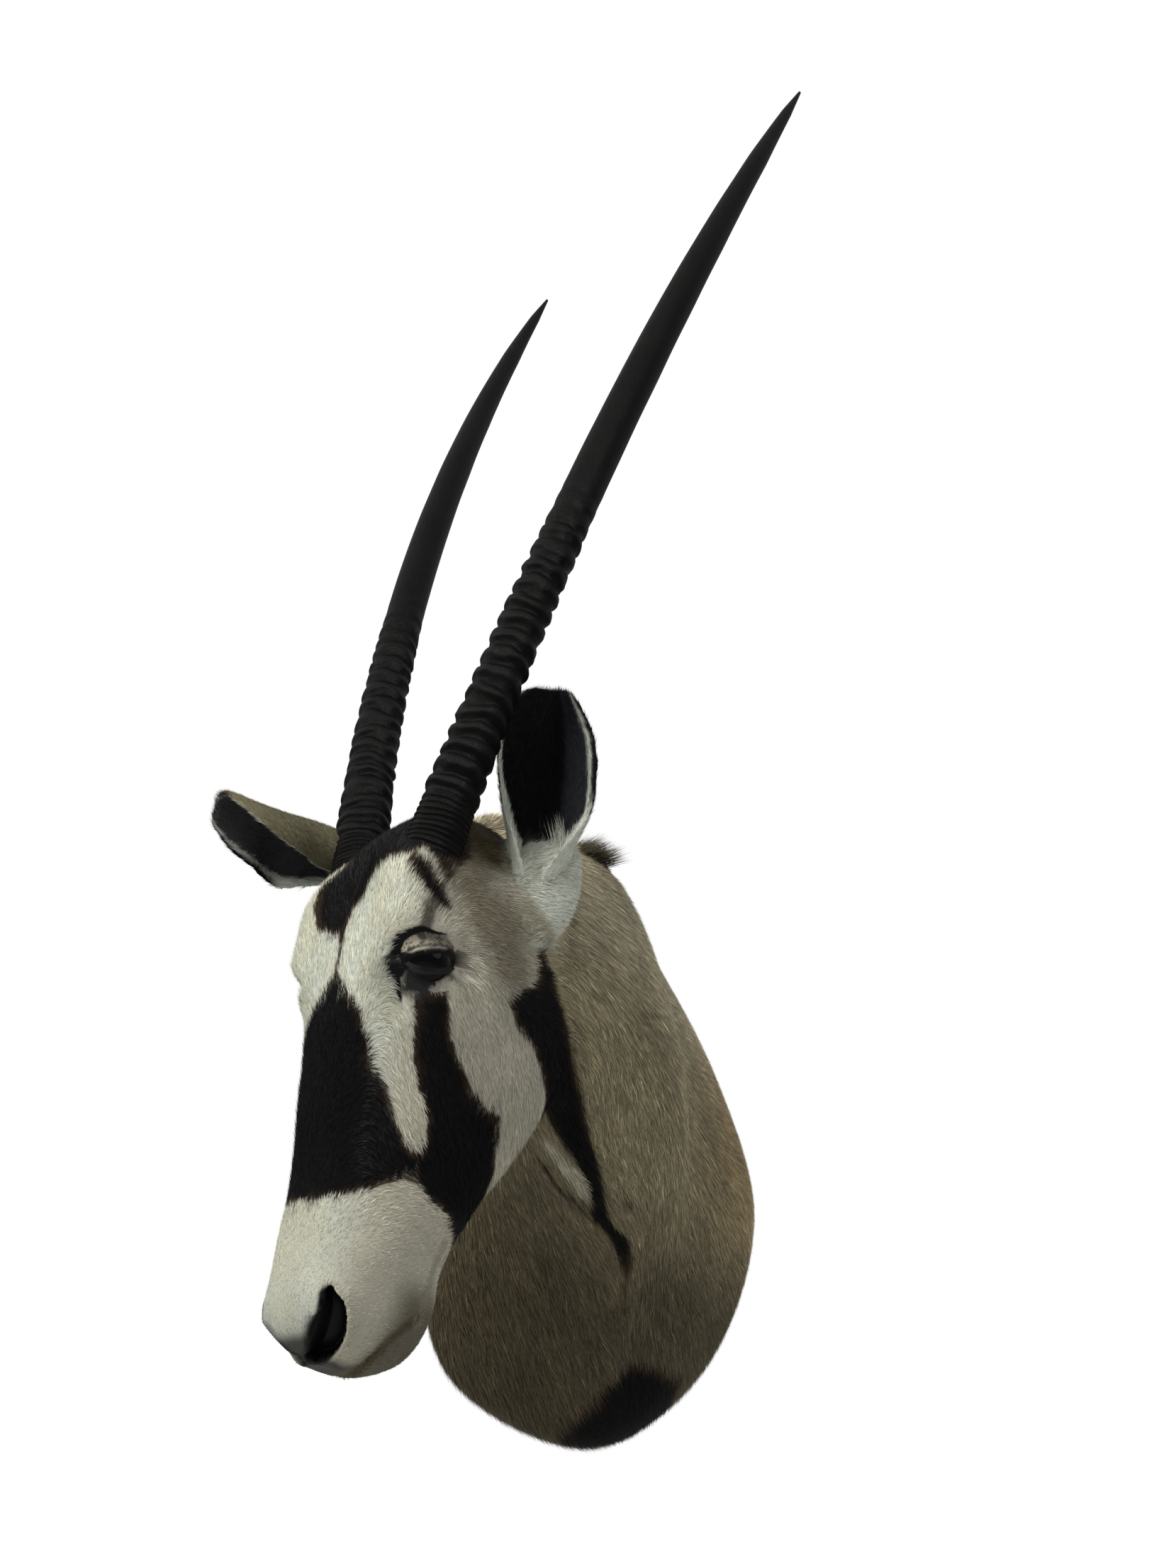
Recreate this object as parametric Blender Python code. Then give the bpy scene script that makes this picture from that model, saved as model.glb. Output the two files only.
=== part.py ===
"""Gemsbok shoulder mount for a wall: a turned head with two ringed horns, on a hidden board.

Metres, +Z up. The wall is the plane Y = 0, the mount stands out from it towards -Y, and the
origin is the middle of the board's back face. The head has a frame of its own, whose origin
lies on the skin midway between the horns: l runs to the animal's left, b from the brow
backwards into the head, and u up along the face, from the nose to the poll.
"""
from math import cos, pi, radians, sin

import bmesh
import bpy
import numpy as np
from mathutils import Matrix

# ---------------------------------------------------------------- driving dimensions
HEAD_PLACE = (-0.154, -0.596, 0.069)  # where the head's origin stands, from the wall face's middle
HEAD_TURN = radians(-48.2)            # the head looks to its own right
HEAD_NOD = radians(-12.5)             # the nose is carried a little forward of the brow

HORN_LENGTH = 0.938                   # along the curve, from the skin to the tip
HORN_SPACING = 0.091                  # between the middles of the two horn bases
HORN_BASE = (0.0037, -0.0029)         # b and u of the middle of a base
HORN_LEAN_BASE = radians(-3.4)        # backward lean at the base, measured from the face's line
HORN_LEAN_TIP = radians(13.1)         # backward lean at the tip
HORN_SPREAD_BASE = radians(14.9)      # outward lean at the base
HORN_SPREAD_TIP = radians(3.5)        # outward lean at the tip
HORN_BEND = 0.67                      # below 1, a horn bends more near its base than near its tip
HORN_ROOT = 0.016                     # the length hidden in the skin
HORN_SIDES = 12
RING_COUNT = 21                       # raised rings on the lower part of a horn
RING_END = 0.36                       # fraction of the length where the rings have faded out
RING_FADE = 0.70                      # share of the rings that stand out at full height
RING_CROWDING = 1.12                  # above 1, the rings stand closer together near the base
RING_HEIGHT = 0.0019

EYE_RADIUS = 0.0190
EYE_CENTRE = (0.0565, 0.013, -0.089)  # the left eye's, in the head's frame

BOARD_THICKNESS = 0.018
BOARD_INSET = 0.014                   # the skin stands past the board's edge all round
HANGER_SIZE = (0.064, 0.0025, 0.030)
HANGER_HEIGHT = 0.150                 # the hanger's middle above the origin
HANGER_SCREW = 0.0024                 # radius of the slot for a screw's shank
HANGER_HEAD = 0.0052                  # radius of the hole for a screw's head
HANGER_SUNK = 0.0005                  # the plate lies this far below the board's back face
HANGER_DROP = 0.008                   # from the hole for the head up to the slot's seat
SCREW_ROOM = (0.016, 0.022, 0.024)    # the hollow for a screw's head, centred on the back face
FIT_GAP = 0.0003                      # between two pieces that touch
SKIN_GRAIN = 0.0026                   # the cubes in which the forms under the skin are joined
SKIN_FACES_KEPT = 0.010               # share of the joined skin's triangles that is kept

# ---------------------------------------------------------------- the head's own frame
HEAD_L = np.array((cos(HEAD_TURN), sin(HEAD_TURN), 0.0))
HEAD_B = np.array((-sin(HEAD_TURN) * cos(HEAD_NOD), cos(HEAD_TURN) * cos(HEAD_NOD), sin(HEAD_NOD)))
HEAD_U = np.cross(HEAD_L, HEAD_B)
HEAD_AXES = np.array((HEAD_L, HEAD_B, HEAD_U))


def from_head(points):
    """Head coordinates (l, b, u) to the part's frame."""
    return np.asarray(points, float) @ HEAD_AXES + np.array(HEAD_PLACE)


# ---------------------------------------------------------------- curves through rows of values
def through(rows, places, closed=False):
    """Catmull-Rom curve through rows, read at places counted in rows."""
    rows = np.asarray(rows, float)
    count = len(rows)
    places = np.asarray(places, float)
    low = np.floor(places).astype(int)
    if not closed:
        low = np.clip(low, 0, count - 2)
    share = (places - low).reshape((-1,) + (1,) * (rows.ndim - 1))

    def row(index):
        if closed:
            return rows[index % count]
        inner = rows[np.clip(index, 0, count - 1)]
        before = (index < 0).reshape(share.shape)
        after = (index > count - 1).reshape(share.shape)
        inner = np.where(before, 2 * rows[0] - rows[1], inner)
        return np.where(after, 2 * rows[-1] - rows[-2], inner)

    a, b, c, d = row(low - 1), row(low), row(low + 1), row(low + 2)
    return 0.5 * (2 * b + (c - a) * share + (2 * a - 5 * b + 4 * c - d) * share ** 2
                  + (3 * b - a - 3 * c + d) * share ** 3)


def unit(vector):
    vector = np.asarray(vector, float)
    return vector / np.linalg.norm(vector, axis=-1, keepdims=True)


def smooth_step(low, high, value):
    share = np.clip((value - low) / (high - low), 0.0, 1.0)
    return share * share * (3.0 - 2.0 * share)


# ---------------------------------------------------------------- meshes and objects
def loft(name, rings, material=None, hollow=False):
    """One closed solid through rings of points. Each end is a fan of triangles round its
    middle, or on a hollow, crescent-shaped section a strip between its outer and inner line."""
    rings = np.asarray(rings, float)
    around = rings.shape[1]
    last = around - 1
    mesh = bmesh.new()
    verts = [[mesh.verts.new(point) for point in ring] for ring in rings]
    for lower, upper in zip(verts, verts[1:]):
        for i in range(around):
            j = (i + 1) % around
            mesh.faces.new((lower[i], lower[j], upper[j], upper[i]))
    for end, flip in ((0, True), (-1, False)):
        if hollow:
            faces = [[verts[end][k] for k in (i, i + 1, last - 1 - i, last - i)]
                     for i in range(around // 2 - 1)]
        else:
            middle = mesh.verts.new(rings[end].mean(axis=0))
            faces = [[verts[end][i], verts[end][(i + 1) % around], middle] for i in range(around)]
        for corners in faces:
            mesh.faces.new(corners[::-1] if flip else corners)
    bmesh.ops.recalc_face_normals(mesh, faces=mesh.faces)
    return finish_object(name, mesh, material)


def finish_object(name, mesh, material=None):
    bmesh.ops.triangulate(mesh, faces=mesh.faces)
    data = bpy.data.meshes.new(name)
    mesh.to_mesh(data)
    mesh.free()
    data.shade_smooth()
    thing = bpy.data.objects.new(name, data)
    bpy.context.scene.collection.objects.link(thing)
    if material:
        data.materials.append(material)
    return thing


def as_tool(thing):
    """A solid that only cuts or joins another."""
    thing.hide_render = True
    thing.display_type = "WIRE"
    return thing


def cut(thing, tool):
    step = thing.modifiers.new(tool.name, "BOOLEAN")
    step.operation = "DIFFERENCE"
    step.object = as_tool(tool)
    thing.modifiers.new(f"{tool.name}_faces", "TRIANGULATE")


def grow_together(name, forms, grain, keep, material):
    """One skin over overlapping forms: remeshed in cubes of the grain, then thinned to the
    share of its triangles given by keep."""
    mesh = bmesh.new()
    for form in forms:
        mesh.from_mesh(form.data)
        bpy.data.objects.remove(form)
    skin = finish_object(name, mesh, material)
    step = skin.modifiers.new("one_skin", "REMESH")
    step.mode = "VOXEL"
    step.voxel_size = grain
    step.use_smooth_shade = True
    thin = skin.modifiers.new("fewer_faces", "DECIMATE")
    thin.ratio = keep
    thin.use_collapse_triangulate = True
    return skin


def finish(name, colour, roughness, metallic=0.0):
    material = bpy.data.materials.new(name)
    material.use_nodes = True
    shader = material.node_tree.nodes["Principled BSDF"]
    shader.inputs["Base Color"].default_value = (*colour, 1.0)
    shader.inputs["Roughness"].default_value = roughness
    shader.inputs["Metallic"].default_value = metallic
    return material


# ---------------------------------------------------------------- head
MM = 0.001
# Each row is a section across the face at height u, in millimetres: the front line's b, the
# corner beside it (l, b), the widest point (l, b), the jaw (l, b) and the back line's b.
HEAD_SECTIONS = (
    #  u    front  corner      widest     jaw        back
    (-345, 38, (8, 41), (12, 52), (8, 64), 68),
    (-339, 25, (20, 30), (26, 50), (20, 74), 83),
    (-328, 14, (27, 20), (35, 46), (28, 84), 99),
    (-312, 7, (29, 12), (40, 44), (33, 90), 109),
    (-292, 4, (28, 9), (42, 43), (34, 93), 114),
    (-268, 2, (26, 6), (43, 45), (33, 92), 114),
    (-243, 0, (26, 5), (45, 46), (34, 97), 120),
    (-215, -4, (28, 2), (49, 46), (36, 106), 131),
    (-185, -8, (32, -2), (54, 48), (39, 120), 146),
    (-155, -12, (36, -5), (59, 48), (43, 132), 160),
    (-125, -16, (44, -8), (65, 44), (46, 142), 170),
    (-95, -20, (57, -14), (71, 30), (48, 146), 178),
    (-65, -22, (60, -17), (71, 34), (48, 142), 180),
    (-35, -21, (53, -16), (66, 44), (46, 134), 172),
    (-5, -18, (43, -10), (60, 48), (43, 122), 160),
    (20, -12, (38, -4), (55, 50), (38, 110), 146),
    (44, 5, (29, 11), (44, 52), (31, 94), 120),
    (58, 28, (14, 32), (22, 52), (14, 76), 86),
)


def head_ring(section, around):
    """One section's closed outline in head coordinates."""
    u, front, corner_l, corner_b, wide_l, wide_b, jaw_l, jaw_b, back = section
    half = [(0, front), (corner_l, corner_b), (wide_l, wide_b), (jaw_l, jaw_b), (0, back)]
    other = [(-l, b) for l, b in half[3:0:-1]]
    outline = through(half + other, np.arange(around) * 8.0 / around, closed=True)
    return np.column_stack((outline, np.full(around, u))) * MM


def head_rings(count, around):
    flat = [np.hstack([np.ravel(value) for value in row]) for row in HEAD_SECTIONS]
    places = np.linspace(0, len(flat) - 1, count)
    return np.array([head_ring(row, around) for row in through(flat, places)])


# Swellings and hollows of the head: middle (l, b, u), radii, and how far the skin is pushed
# along the direction given, all in millimetres and mirrored to both sides.
HEAD_FORMS = (
    ((63, -6, -72), (16, 18, 20), (6, -6, 1)),    # brow over the eye
    ((70, 34, -90), (12, 13, 22), (5, 0, 0)),     # rear rim of the eye socket
    ((73, 11, -91), (14, 18, 12), (-8, 1, 0)),    # hollow that holds the eye
    ((58, 2, -122), (12, 14, 12), (-3, 2, 0)),    # hollow in front of the eye
    ((60, 70, -105), (18, 36, 36), (3, 0, 0)),    # cheek muscle
    ((34, 26, -318), (10, 16, 16), (4, -3, -2)),  # wing of the nostril
    ((44, 40, -275), (14, 24, 18), (3, 0, 0)),    # upper lip
    ((45, -10, -14), (26, 18, 22), (2, -8, 3)),   # skin swelling before the horn base
    ((60, 8, -14), (18, 24, 22), (8, 0, 3)),      # and beside it
    ((54, -14, -36), (18, 18, 30), (9, -8, 0)),   # the brow's corner
)


def shape_head(points):
    """Push head coordinates out or in by the named forms."""
    points = np.array(points, float)
    for middle, radii, push in HEAD_FORMS:
        for side in (1.0, -1.0):
            mirror = np.array((side, 1.0, 1.0))
            offset = (points - np.array(middle) * MM * mirror) / (np.array(radii) * MM)
            weight = np.exp(-(offset ** 2).sum(axis=-1))
            points = points + weight[..., None] * np.array(push) * MM * mirror
    return points


# ---------------------------------------------------------------- neck
# Rows from the head to the wall: the mane line's point, the throat line's point, the half width
# to the animal's left and to its right, and how far the section has turned from the head's
# side axis to the wall's.
NECK_SECTIONS = (
    ((-0.112, -0.560, 0.105), (-0.070, -0.515, -0.050), 0.044, 0.046, 0.00),
    ((-0.084, -0.528, 0.132), (-0.035, -0.485, -0.085), 0.060, 0.072, 0.20),
    ((-0.044, -0.483, 0.139), (-0.018, -0.420, -0.122), 0.066, 0.100, 0.45),
    ((-0.004, -0.408, 0.147), (0.000, -0.350, -0.176), 0.070, 0.132, 0.70),
    ((0.000, -0.310, 0.168), (-0.008, -0.275, -0.248), 0.084, 0.146, 0.90),
    ((0.000, -0.200, 0.190), (-0.010, -0.215, -0.293), 0.120, 0.148, 1.00),
    ((0.000, -0.100, 0.205), (-0.003, -0.130, -0.290), 0.147, 0.152, 1.00),
    ((0.000, -0.0183, 0.215), (0.000, -0.0183, -0.262), 0.158, 0.158, 1.00),
)
# The neck's outline between mane line (0) and throat line (1): depth, share of half width.
NECK_LEFT = ((0.0, 0.0), (0.09, 0.42), (0.32, 0.80), (0.60, 1.0), (0.86, 0.70), (1.0, 0.0))
NECK_RIGHT = ((0.0, 0.0), (0.09, 0.42), (0.32, 0.80), (0.65, 1.01), (0.89, 0.81), (1.0, 0.0))
WALL_SIDE = np.array((1.0, 0.0, 0.0))
MANE_HEIGHTS = (0.008, 0.010, 0.009, 0.009, 0.008, 0.007, 0.006, 0.005)
MANE_FOOT = 0.012                     # how deep the ridge of bristles is rooted in the neck
# The ridge's outline: across it in metres, and up it in shares of its height (-1 its foot).
MANE_OUTLINE = ((-0.013, -1), (0.013, -1), (0.010, 0.3), (0.003, 1), (-0.003, 1), (-0.010, 0.3))


def neck_ring(section, around):
    mane, throat = section[:3], section[3:6]
    half_left, half_right, turned = section[6:9]
    side = unit(HEAD_L * (1.0 - turned) + WALL_SIDE * turned)
    left = [(depth, share * half_left) for depth, share in NECK_LEFT]
    right = [(depth, -share * half_right) for depth, share in NECK_RIGHT[-2:0:-1]]
    outline = through(left + right, np.arange(around) * 10.0 / around, closed=True)
    return mane + outline[:, :1] * (throat - mane) + outline[:, 1:] * side


def neck_rings(count, around):
    flat = [np.hstack([np.ravel(value) for value in row]) for row in NECK_SECTIONS]
    places = np.linspace(0, len(flat) - 1, count)
    return np.array([neck_ring(row, around) for row in through(flat, places)])


def mane_rings(count):
    """A low ridge of bristles along the neck's upper edge, from the poll to the withers."""
    flat = [np.hstack([np.ravel(value) for value in row] + [height])
            for row, height in zip(NECK_SECTIONS, MANE_HEIGHTS)]
    rings = []
    for section in through(flat, np.linspace(0.3, len(flat) - 1.12, count)):
        mane, throat = section[:3], section[3:6]
        turned, height = section[8:]
        side = unit(HEAD_L * (1.0 - turned) + WALL_SIDE * turned)
        up = unit(mane - throat)
        outline = [(across, -MANE_FOOT if rise < 0 else rise * height) for across, rise in MANE_OUTLINE]
        rings.append([mane + side * across + up * rise for across, rise in outline])
    return np.array(rings)


# ---------------------------------------------------------------- ears
# Rows from an ear's root to its tip: place along the ear, half the breadth of its skin laid flat,
# the half angle through which that skin is curled, the shift of its back, and how far its outer
# and its inner half reach sideways.
EAR_SECTIONS = (
    (0.00, 0.046, radians(162), 0.000, 1.00, 1.00),
    (0.22, 0.048, radians(160), 0.001, 1.05, 1.00),
    (0.35, 0.052, radians(132), 0.002, 1.20, 0.95),
    (0.48, 0.055, radians(98), 0.002, 1.15, 0.93),
    (0.64, 0.055, radians(79), 0.000, 1.00, 0.96),
    (0.79, 0.050, radians(66), -0.003, 0.88, 1.00),
    (0.91, 0.040, radians(54), -0.007, 0.70, 1.00),
    (0.975, 0.030, radians(44), -0.010, 0.60, 0.90),
    (1.00, 0.020, radians(34), -0.011, 0.65, 0.80),
)
EAR_SKIN = 0.0052
EAR_SKIN_THINNING = 0.45              # share of its thickness that the skin loses at its edges
EAR_LEAST_RADIUS = 0.001              # of the inside's curl, where the skin is rolled up
EAR_ROOT_SWELL = 0.0006               # how far the root's stalk stands out past the rolled skin
EAR_ROOT_ROWS = 1.9                   # rows of the table over which the stalk runs
EAR_ROOT_TAPER = 0.85                 # share of its radius that the stalk loses at its upper end
EAR_TAPER_START = 0.45                # share of the stalk's length where that taper begins
EAR_BENT = 0.45                       # share of an ear's length over which its stem bends
# A flared ear is pinched at this share of its length, over this reach, by this share of the flare.
EAR_PINCH = (0.72, 0.14, 0.28)
EAR_FLARE_POWER = 14                  # how closely the flare keeps to the tip
# Each ear: its root, its tip, the way its hollow faces, a factor for its breadth, how far the
# stem's end is bent away from the straight line, and how far the tip flares outwards.
LEFT_EAR = ((0.038, 0.104, -0.030), (0.076, 0.056, 0.170), (0.78, -0.55, -0.20), 1.0, (0, 0, 0), 0.0)
RIGHT_EAR = ((-0.072, 0.009, 0.064), (-0.1085, -0.096, 0.0385), (-0.15, -0.16, -1.0), 1.18,
             (0.030, 0.050, -0.034), 0.9)
# Swellings that the ears grow from: middle and radii.
EAR_BASES = (((0.058, 0.092, 0.010), (0.021, 0.025, 0.036)), ((0.062, 0.106, 0.016), (0.018, 0.019, 0.044)),
             ((-0.048, 0.062, 0.018), (0.021, 0.025, 0.034)))


def ear_base(middle, radii):
    mesh = bmesh.new()
    bmesh.ops.create_uvsphere(mesh, u_segments=24, v_segments=14, radius=1.0)
    for vert in mesh.verts:
        vert.co = from_head(np.array(middle) + np.array(vert.co) * radii)
    bmesh.ops.recalc_face_normals(mesh, faces=mesh.faces)
    return finish_object("ear_base_form", mesh)


def ear_line(ear, along):
    """The point of an ear's middle line at a share of its length."""
    root, tip, bend = np.array(ear[0]), np.array(ear[1]), np.array(ear[4])
    return root + (tip - root) * along + bend * max(1.0 - along / EAR_BENT, 0.0) ** 2


def ear_axes(ear):
    """The way an ear's hollow faces, and the direction across the hollow."""
    axis = unit(np.array(ear[1]) - np.array(ear[0]))
    facing = unit(np.array(ear[2]) - np.dot(ear[2], axis) * axis)
    return facing, np.cross(axis, facing)


def ear_flare(ear, along):
    """How much further the outer half of an ear reaches, from its pinch and its flared tip."""
    middle, reach, depth = EAR_PINCH
    pinch = depth * np.exp(-((along - middle) / reach) ** 2)
    return ear[5] * (max(along, 0.0) ** EAR_FLARE_POWER - pinch)


def ear_root_rings(ear, count, around):
    """A round stalk that fills the rolled-up root of an ear."""
    facing, across = ear_axes(ear)
    angle = np.arange(around) * 2 * pi / around
    rings = []
    for share in np.linspace(0, 1, count):
        along, half, curl, shift = through(EAR_SECTIONS, [EAR_ROOT_ROWS * share])[0][:4]
        radius = ear[3] * half / curl
        middle = ear_line(ear, along) + facing * (shift + radius - 0.5 * EAR_SKIN)
        reach = (radius + EAR_ROOT_SWELL) * (1.0 - EAR_ROOT_TAPER * smooth_step(EAR_TAPER_START, 1.0, share))
        rings.append([middle + reach * (facing * cos(a) + across * sin(a)) for a in angle])
    return np.array(rings)


def ear_rings(ear, count, across_count):
    """Crescent sections of a cupped ear: its back, then its inside, in head coordinates."""
    facing, across = ear_axes(ear)
    outer = np.sign(ear[0][0])
    turn = np.linspace(-1, 1, across_count)
    skin = EAR_SKIN * (1.0 - EAR_SKIN_THINNING * turn ** 4)
    rings = []
    for section in through(EAR_SECTIONS, np.linspace(0, len(EAR_SECTIONS) - 1, count)):
        along, half, curl, shift, outward, inward = section
        radius = ear[3] * half / curl
        middle = ear_line(ear, along) + facing * (shift - 0.5 * EAR_SKIN)
        angle = np.append(turn, turn[::-1]) * curl
        stretch = np.where(angle * outer > 0, outward + ear_flare(ear, along), inward)
        inside = radius - skin / np.minimum(stretch[:across_count], 1.0)
        reach = np.append(np.full(across_count, radius), np.maximum(inside, EAR_LEAST_RADIUS)[::-1])
        aside = reach * np.sin(angle) * stretch
        rings.append(middle + facing * (radius - reach * np.cos(angle))[:, None] + across * aside[:, None])
    return np.array(rings)


# ---------------------------------------------------------------- horns
# A horn's radius at shares of its length.
HORN_RADII = ((0.0, 0.0208), (0.03, 0.0199), (0.1, 0.0185), (0.2, 0.0173), (0.3, 0.0166),
              (0.4, 0.0162), (0.5, 0.0156), (0.6, 0.0145), (0.7, 0.0129), (0.85, 0.0093),
              (0.95, 0.0052), (1.0, 0.0014))
PATH_STEPS = 240                      # steps in which a horn's middle line is added up
SOCKET_END = 0.09                     # the socket follows the horn's shape up to this share


def horn_path(places, side):
    """Points and directions of a horn's middle line at shares of its length."""
    steps = np.linspace(0, 1, PATH_STEPS + 1)
    lean = HORN_LEAN_BASE + (HORN_LEAN_TIP - HORN_LEAN_BASE) * steps ** HORN_BEND
    spread = HORN_SPREAD_BASE + (HORN_SPREAD_TIP - HORN_SPREAD_BASE) * steps
    course = np.column_stack((side * np.sin(spread), np.sin(lean) * np.cos(spread),
                              np.cos(lean) * np.cos(spread)))
    strides = (course[1:] + course[:-1]) / 2 * HORN_LENGTH / PATH_STEPS
    walk = np.vstack(((0, 0, 0), np.cumsum(strides, axis=0)))
    start = np.array((side * HORN_SPACING / 2, *HORN_BASE))
    places = np.asarray(places, float)
    points = [np.interp(places, steps, walk[:, i]) for i in range(3)]
    heading = [np.interp(places, steps, course[:, i]) for i in range(3)]
    below = np.minimum(places, 0.0)[:, None] * HORN_LENGTH * course[0]
    return start + np.column_stack(points) + below, unit(np.column_stack(heading))


def horn_radius(places):
    table = np.array(HORN_RADII)
    return np.interp(places, table[:, 0], table[:, 1])


def ring_places():
    """Crests of the rings: close together at the base, wider apart above."""
    share = (np.arange(RING_COUNT) + 0.6) / RING_COUNT
    return RING_END * share ** RING_CROWDING


def horn_stations():
    """Shares of the length with a ring of points each, and how far a ring's relief is out."""
    crests = ring_places()
    stations = [(-HORN_ROOT / HORN_LENGTH, 0.0), (0.002, 0.0)]
    for i, crest in enumerate(crests):
        fade = 1.0 - smooth_step(RING_FADE, 1.0, i / RING_COUNT)
        before = crests[i - 1] if i else 0.0
        gap = crest - before
        stations += [(crest - 0.50 * gap, -0.3 * fade), (crest - 0.16 * gap, fade),
                     (crest + 0.16 * gap, fade)]
    stations += [(place, 0.0) for place in np.linspace(RING_END + 0.02, 0.94, 11)]
    return stations + [(0.975, 0.0), (1.0, 0.0)]


def horn_socket_stations():
    """The horn's own lower stations, with the root drawn out by the fit gap."""
    root = (-(HORN_ROOT + FIT_GAP) / HORN_LENGTH, 0.0)
    return [root] + [station for station in horn_stations()[1:] if station[0] < SOCKET_END]


def horn_rings(stations, side, around, grow=0.0):
    places = np.array([place for place, relief in stations])
    relief = np.array([relief for place, relief in stations])
    points, heading = horn_path(places, side)
    radius = horn_radius(places) + relief * RING_HEIGHT + grow
    first = unit(np.cross(heading, (0.0, 1.0, 0.0)))
    second = np.cross(heading, first)
    angle = np.arange(around) * 2 * pi / around
    circle = (first[:, None] * np.cos(angle)[None, :, None]
              + second[:, None] * np.sin(angle)[None, :, None])
    return points[:, None] + circle * radius[:, None, None]


# ---------------------------------------------------------------- pieces
def ball(name, centre, radius, segments, rings, material=None):
    mesh = bmesh.new()
    bmesh.ops.create_uvsphere(mesh, u_segments=segments, v_segments=rings, radius=radius)
    bmesh.ops.translate(mesh, verts=mesh.verts, vec=tuple(centre))
    return finish_object(name, mesh, material)


# A nostril's middle line on the left of the muzzle, from its upper point to the septum, and the
# radius of the pit along it, in millimetres.
NOSTRIL_LINE = ((36, 16, -313), (35, 23, -321), (27, 29, -330), (16, 33, -338), (7, 34, -342))
NOSTRIL_RADII = (4.0, 7.5, 9.5, 8.0, 4.5)


def nostril_tool(name, side):
    """A slanting comma-shaped pit on the muzzle's front corner."""
    places = np.linspace(0, len(NOSTRIL_LINE) - 1, 7)
    line = through(NOSTRIL_LINE, places) * MM * np.array((side, 1.0, 1.0))
    radii = through(np.array(NOSTRIL_RADII)[:, None], places) * MM
    along = unit(np.gradient(line, axis=0))
    first = unit(np.cross(along, (0.0, 1.0, 0.0)))
    second = np.cross(along, first)
    rings = [middle + radius * (u * cos(a) + v * sin(a))
             for middle, radius, u, v in zip(line, radii, first, second)
             for a in np.arange(10) * 2 * pi / 10]
    return loft(name, from_head(np.reshape(rings, (len(places), 10, 3))))


def make_cape(material):
    """The skin of head, ears, neck and shoulders, one closed solid."""
    forms = [loft("head_form", from_head(shape_head(head_rings(52, 48)))),
             loft("neck_form", neck_rings(40, 60)), loft("mane_form", mane_rings(40))]
    forms += [ear_base(middle, radii) for middle, radii in EAR_BASES]
    for ear in (LEFT_EAR, RIGHT_EAR):
        forms += [loft("ear_root_form", from_head(ear_root_rings(ear, 9, 20))),
                  loft("ear_form", from_head(ear_rings(ear, 29, 21)), hollow=True)]
    cape = grow_together("cape", forms, SKIN_GRAIN, SKIN_FACES_KEPT, material)
    for name, side in (("left", 1.0), ("right", -1.0)):
        centre = from_head(np.array(EYE_CENTRE) * (side, 1.0, 1.0))
        cut(cape, ball(f"{name}_socket_tool", centre, EYE_RADIUS + FIT_GAP, 16, 10))
        rings = horn_rings(horn_socket_stations(), side, HORN_SIDES, FIT_GAP)
        cut(cape, loft(f"{name}_horn_tool", from_head(rings)))
        cut(cape, nostril_tool(f"{name}_nostril_tool", side))
    return cape


def make_horn(name, side, material):
    return loft(name, from_head(horn_rings(horn_stations(), side, HORN_SIDES)), material)


def board_outline(inset, count):
    """The neck's outline on the wall, drawn in by the inset."""
    ring = neck_ring(np.hstack([np.ravel(value) for value in NECK_SECTIONS[-1]]), count)[:, (0, 2)]
    middle = (ring.max(axis=0) + ring.min(axis=0)) / 2
    reach = (ring.max(axis=0) - ring.min(axis=0)) / 2
    return middle + (ring - middle) * (reach - inset) / reach


def make_board(material):
    outline = board_outline(BOARD_INSET, 40)
    mesh = bmesh.new()
    corners = [mesh.verts.new((x, -BOARD_THICKNESS, z)) for x, z in outline]
    front = mesh.faces.new(corners)
    side = bmesh.ops.extrude_face_region(mesh, geom=[front])
    moved = [item for item in side["geom"] if isinstance(item, bmesh.types.BMVert)]
    bmesh.ops.translate(mesh, verts=moved, vec=(0.0, BOARD_THICKNESS, 0.0))
    bmesh.ops.recalc_face_normals(mesh, faces=mesh.faces)
    return finish_object("backboard", mesh, material)


def block(name, middle, size, material=None):
    mesh = bmesh.new()
    bmesh.ops.create_cube(mesh, size=1.0)
    bmesh.ops.scale(mesh, verts=mesh.verts, vec=size)
    bmesh.ops.translate(mesh, verts=mesh.verts, vec=middle)
    return finish_object(name, mesh, material)


def rod(name, middle, radius, depth):
    """A round tool that lies along Y."""
    mesh = bmesh.new()
    bmesh.ops.create_cone(mesh, cap_ends=True, segments=12, radius1=radius, radius2=radius, depth=depth)
    bmesh.ops.rotate(mesh, verts=mesh.verts, cent=(0, 0, 0), matrix=Matrix.Rotation(pi / 2, 3, "X"))
    bmesh.ops.translate(mesh, verts=mesh.verts, vec=middle)
    return finish_object(name, mesh)


def make_hanger(board, material):
    """A keyhole plate let into the board's back, with room behind it for a screw's head."""
    width, thick, height = HANGER_SIZE
    depth = -HANGER_SUNK - thick / 2
    plate = block("hanger_plate", (0.0, depth, HANGER_HEIGHT), HANGER_SIZE, material)
    slot = block("slot_tool", (0.0, depth, HANGER_HEIGHT + HANGER_DROP / 4),
                 (2 * HANGER_SCREW, 2 * thick, HANGER_DROP * 1.5))
    cut(plate, slot)
    entry = (0.0, depth, HANGER_HEIGHT - HANGER_DROP / 2)
    cut(plate, rod("head_tool", entry, HANGER_HEAD, 2 * thick))
    pocket_floor = HANGER_SUNK + thick + FIT_GAP
    pocket = block("plate_pocket_tool", (0.0, 0.0, HANGER_HEIGHT),
                   (width + 2 * FIT_GAP, 2 * pocket_floor, height + 2 * FIT_GAP))
    cut(board, pocket)
    cut(board, block("screw_room_tool", (0.0, 0.0, HANGER_HEIGHT), SCREW_ROOM))
    return plate


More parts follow.
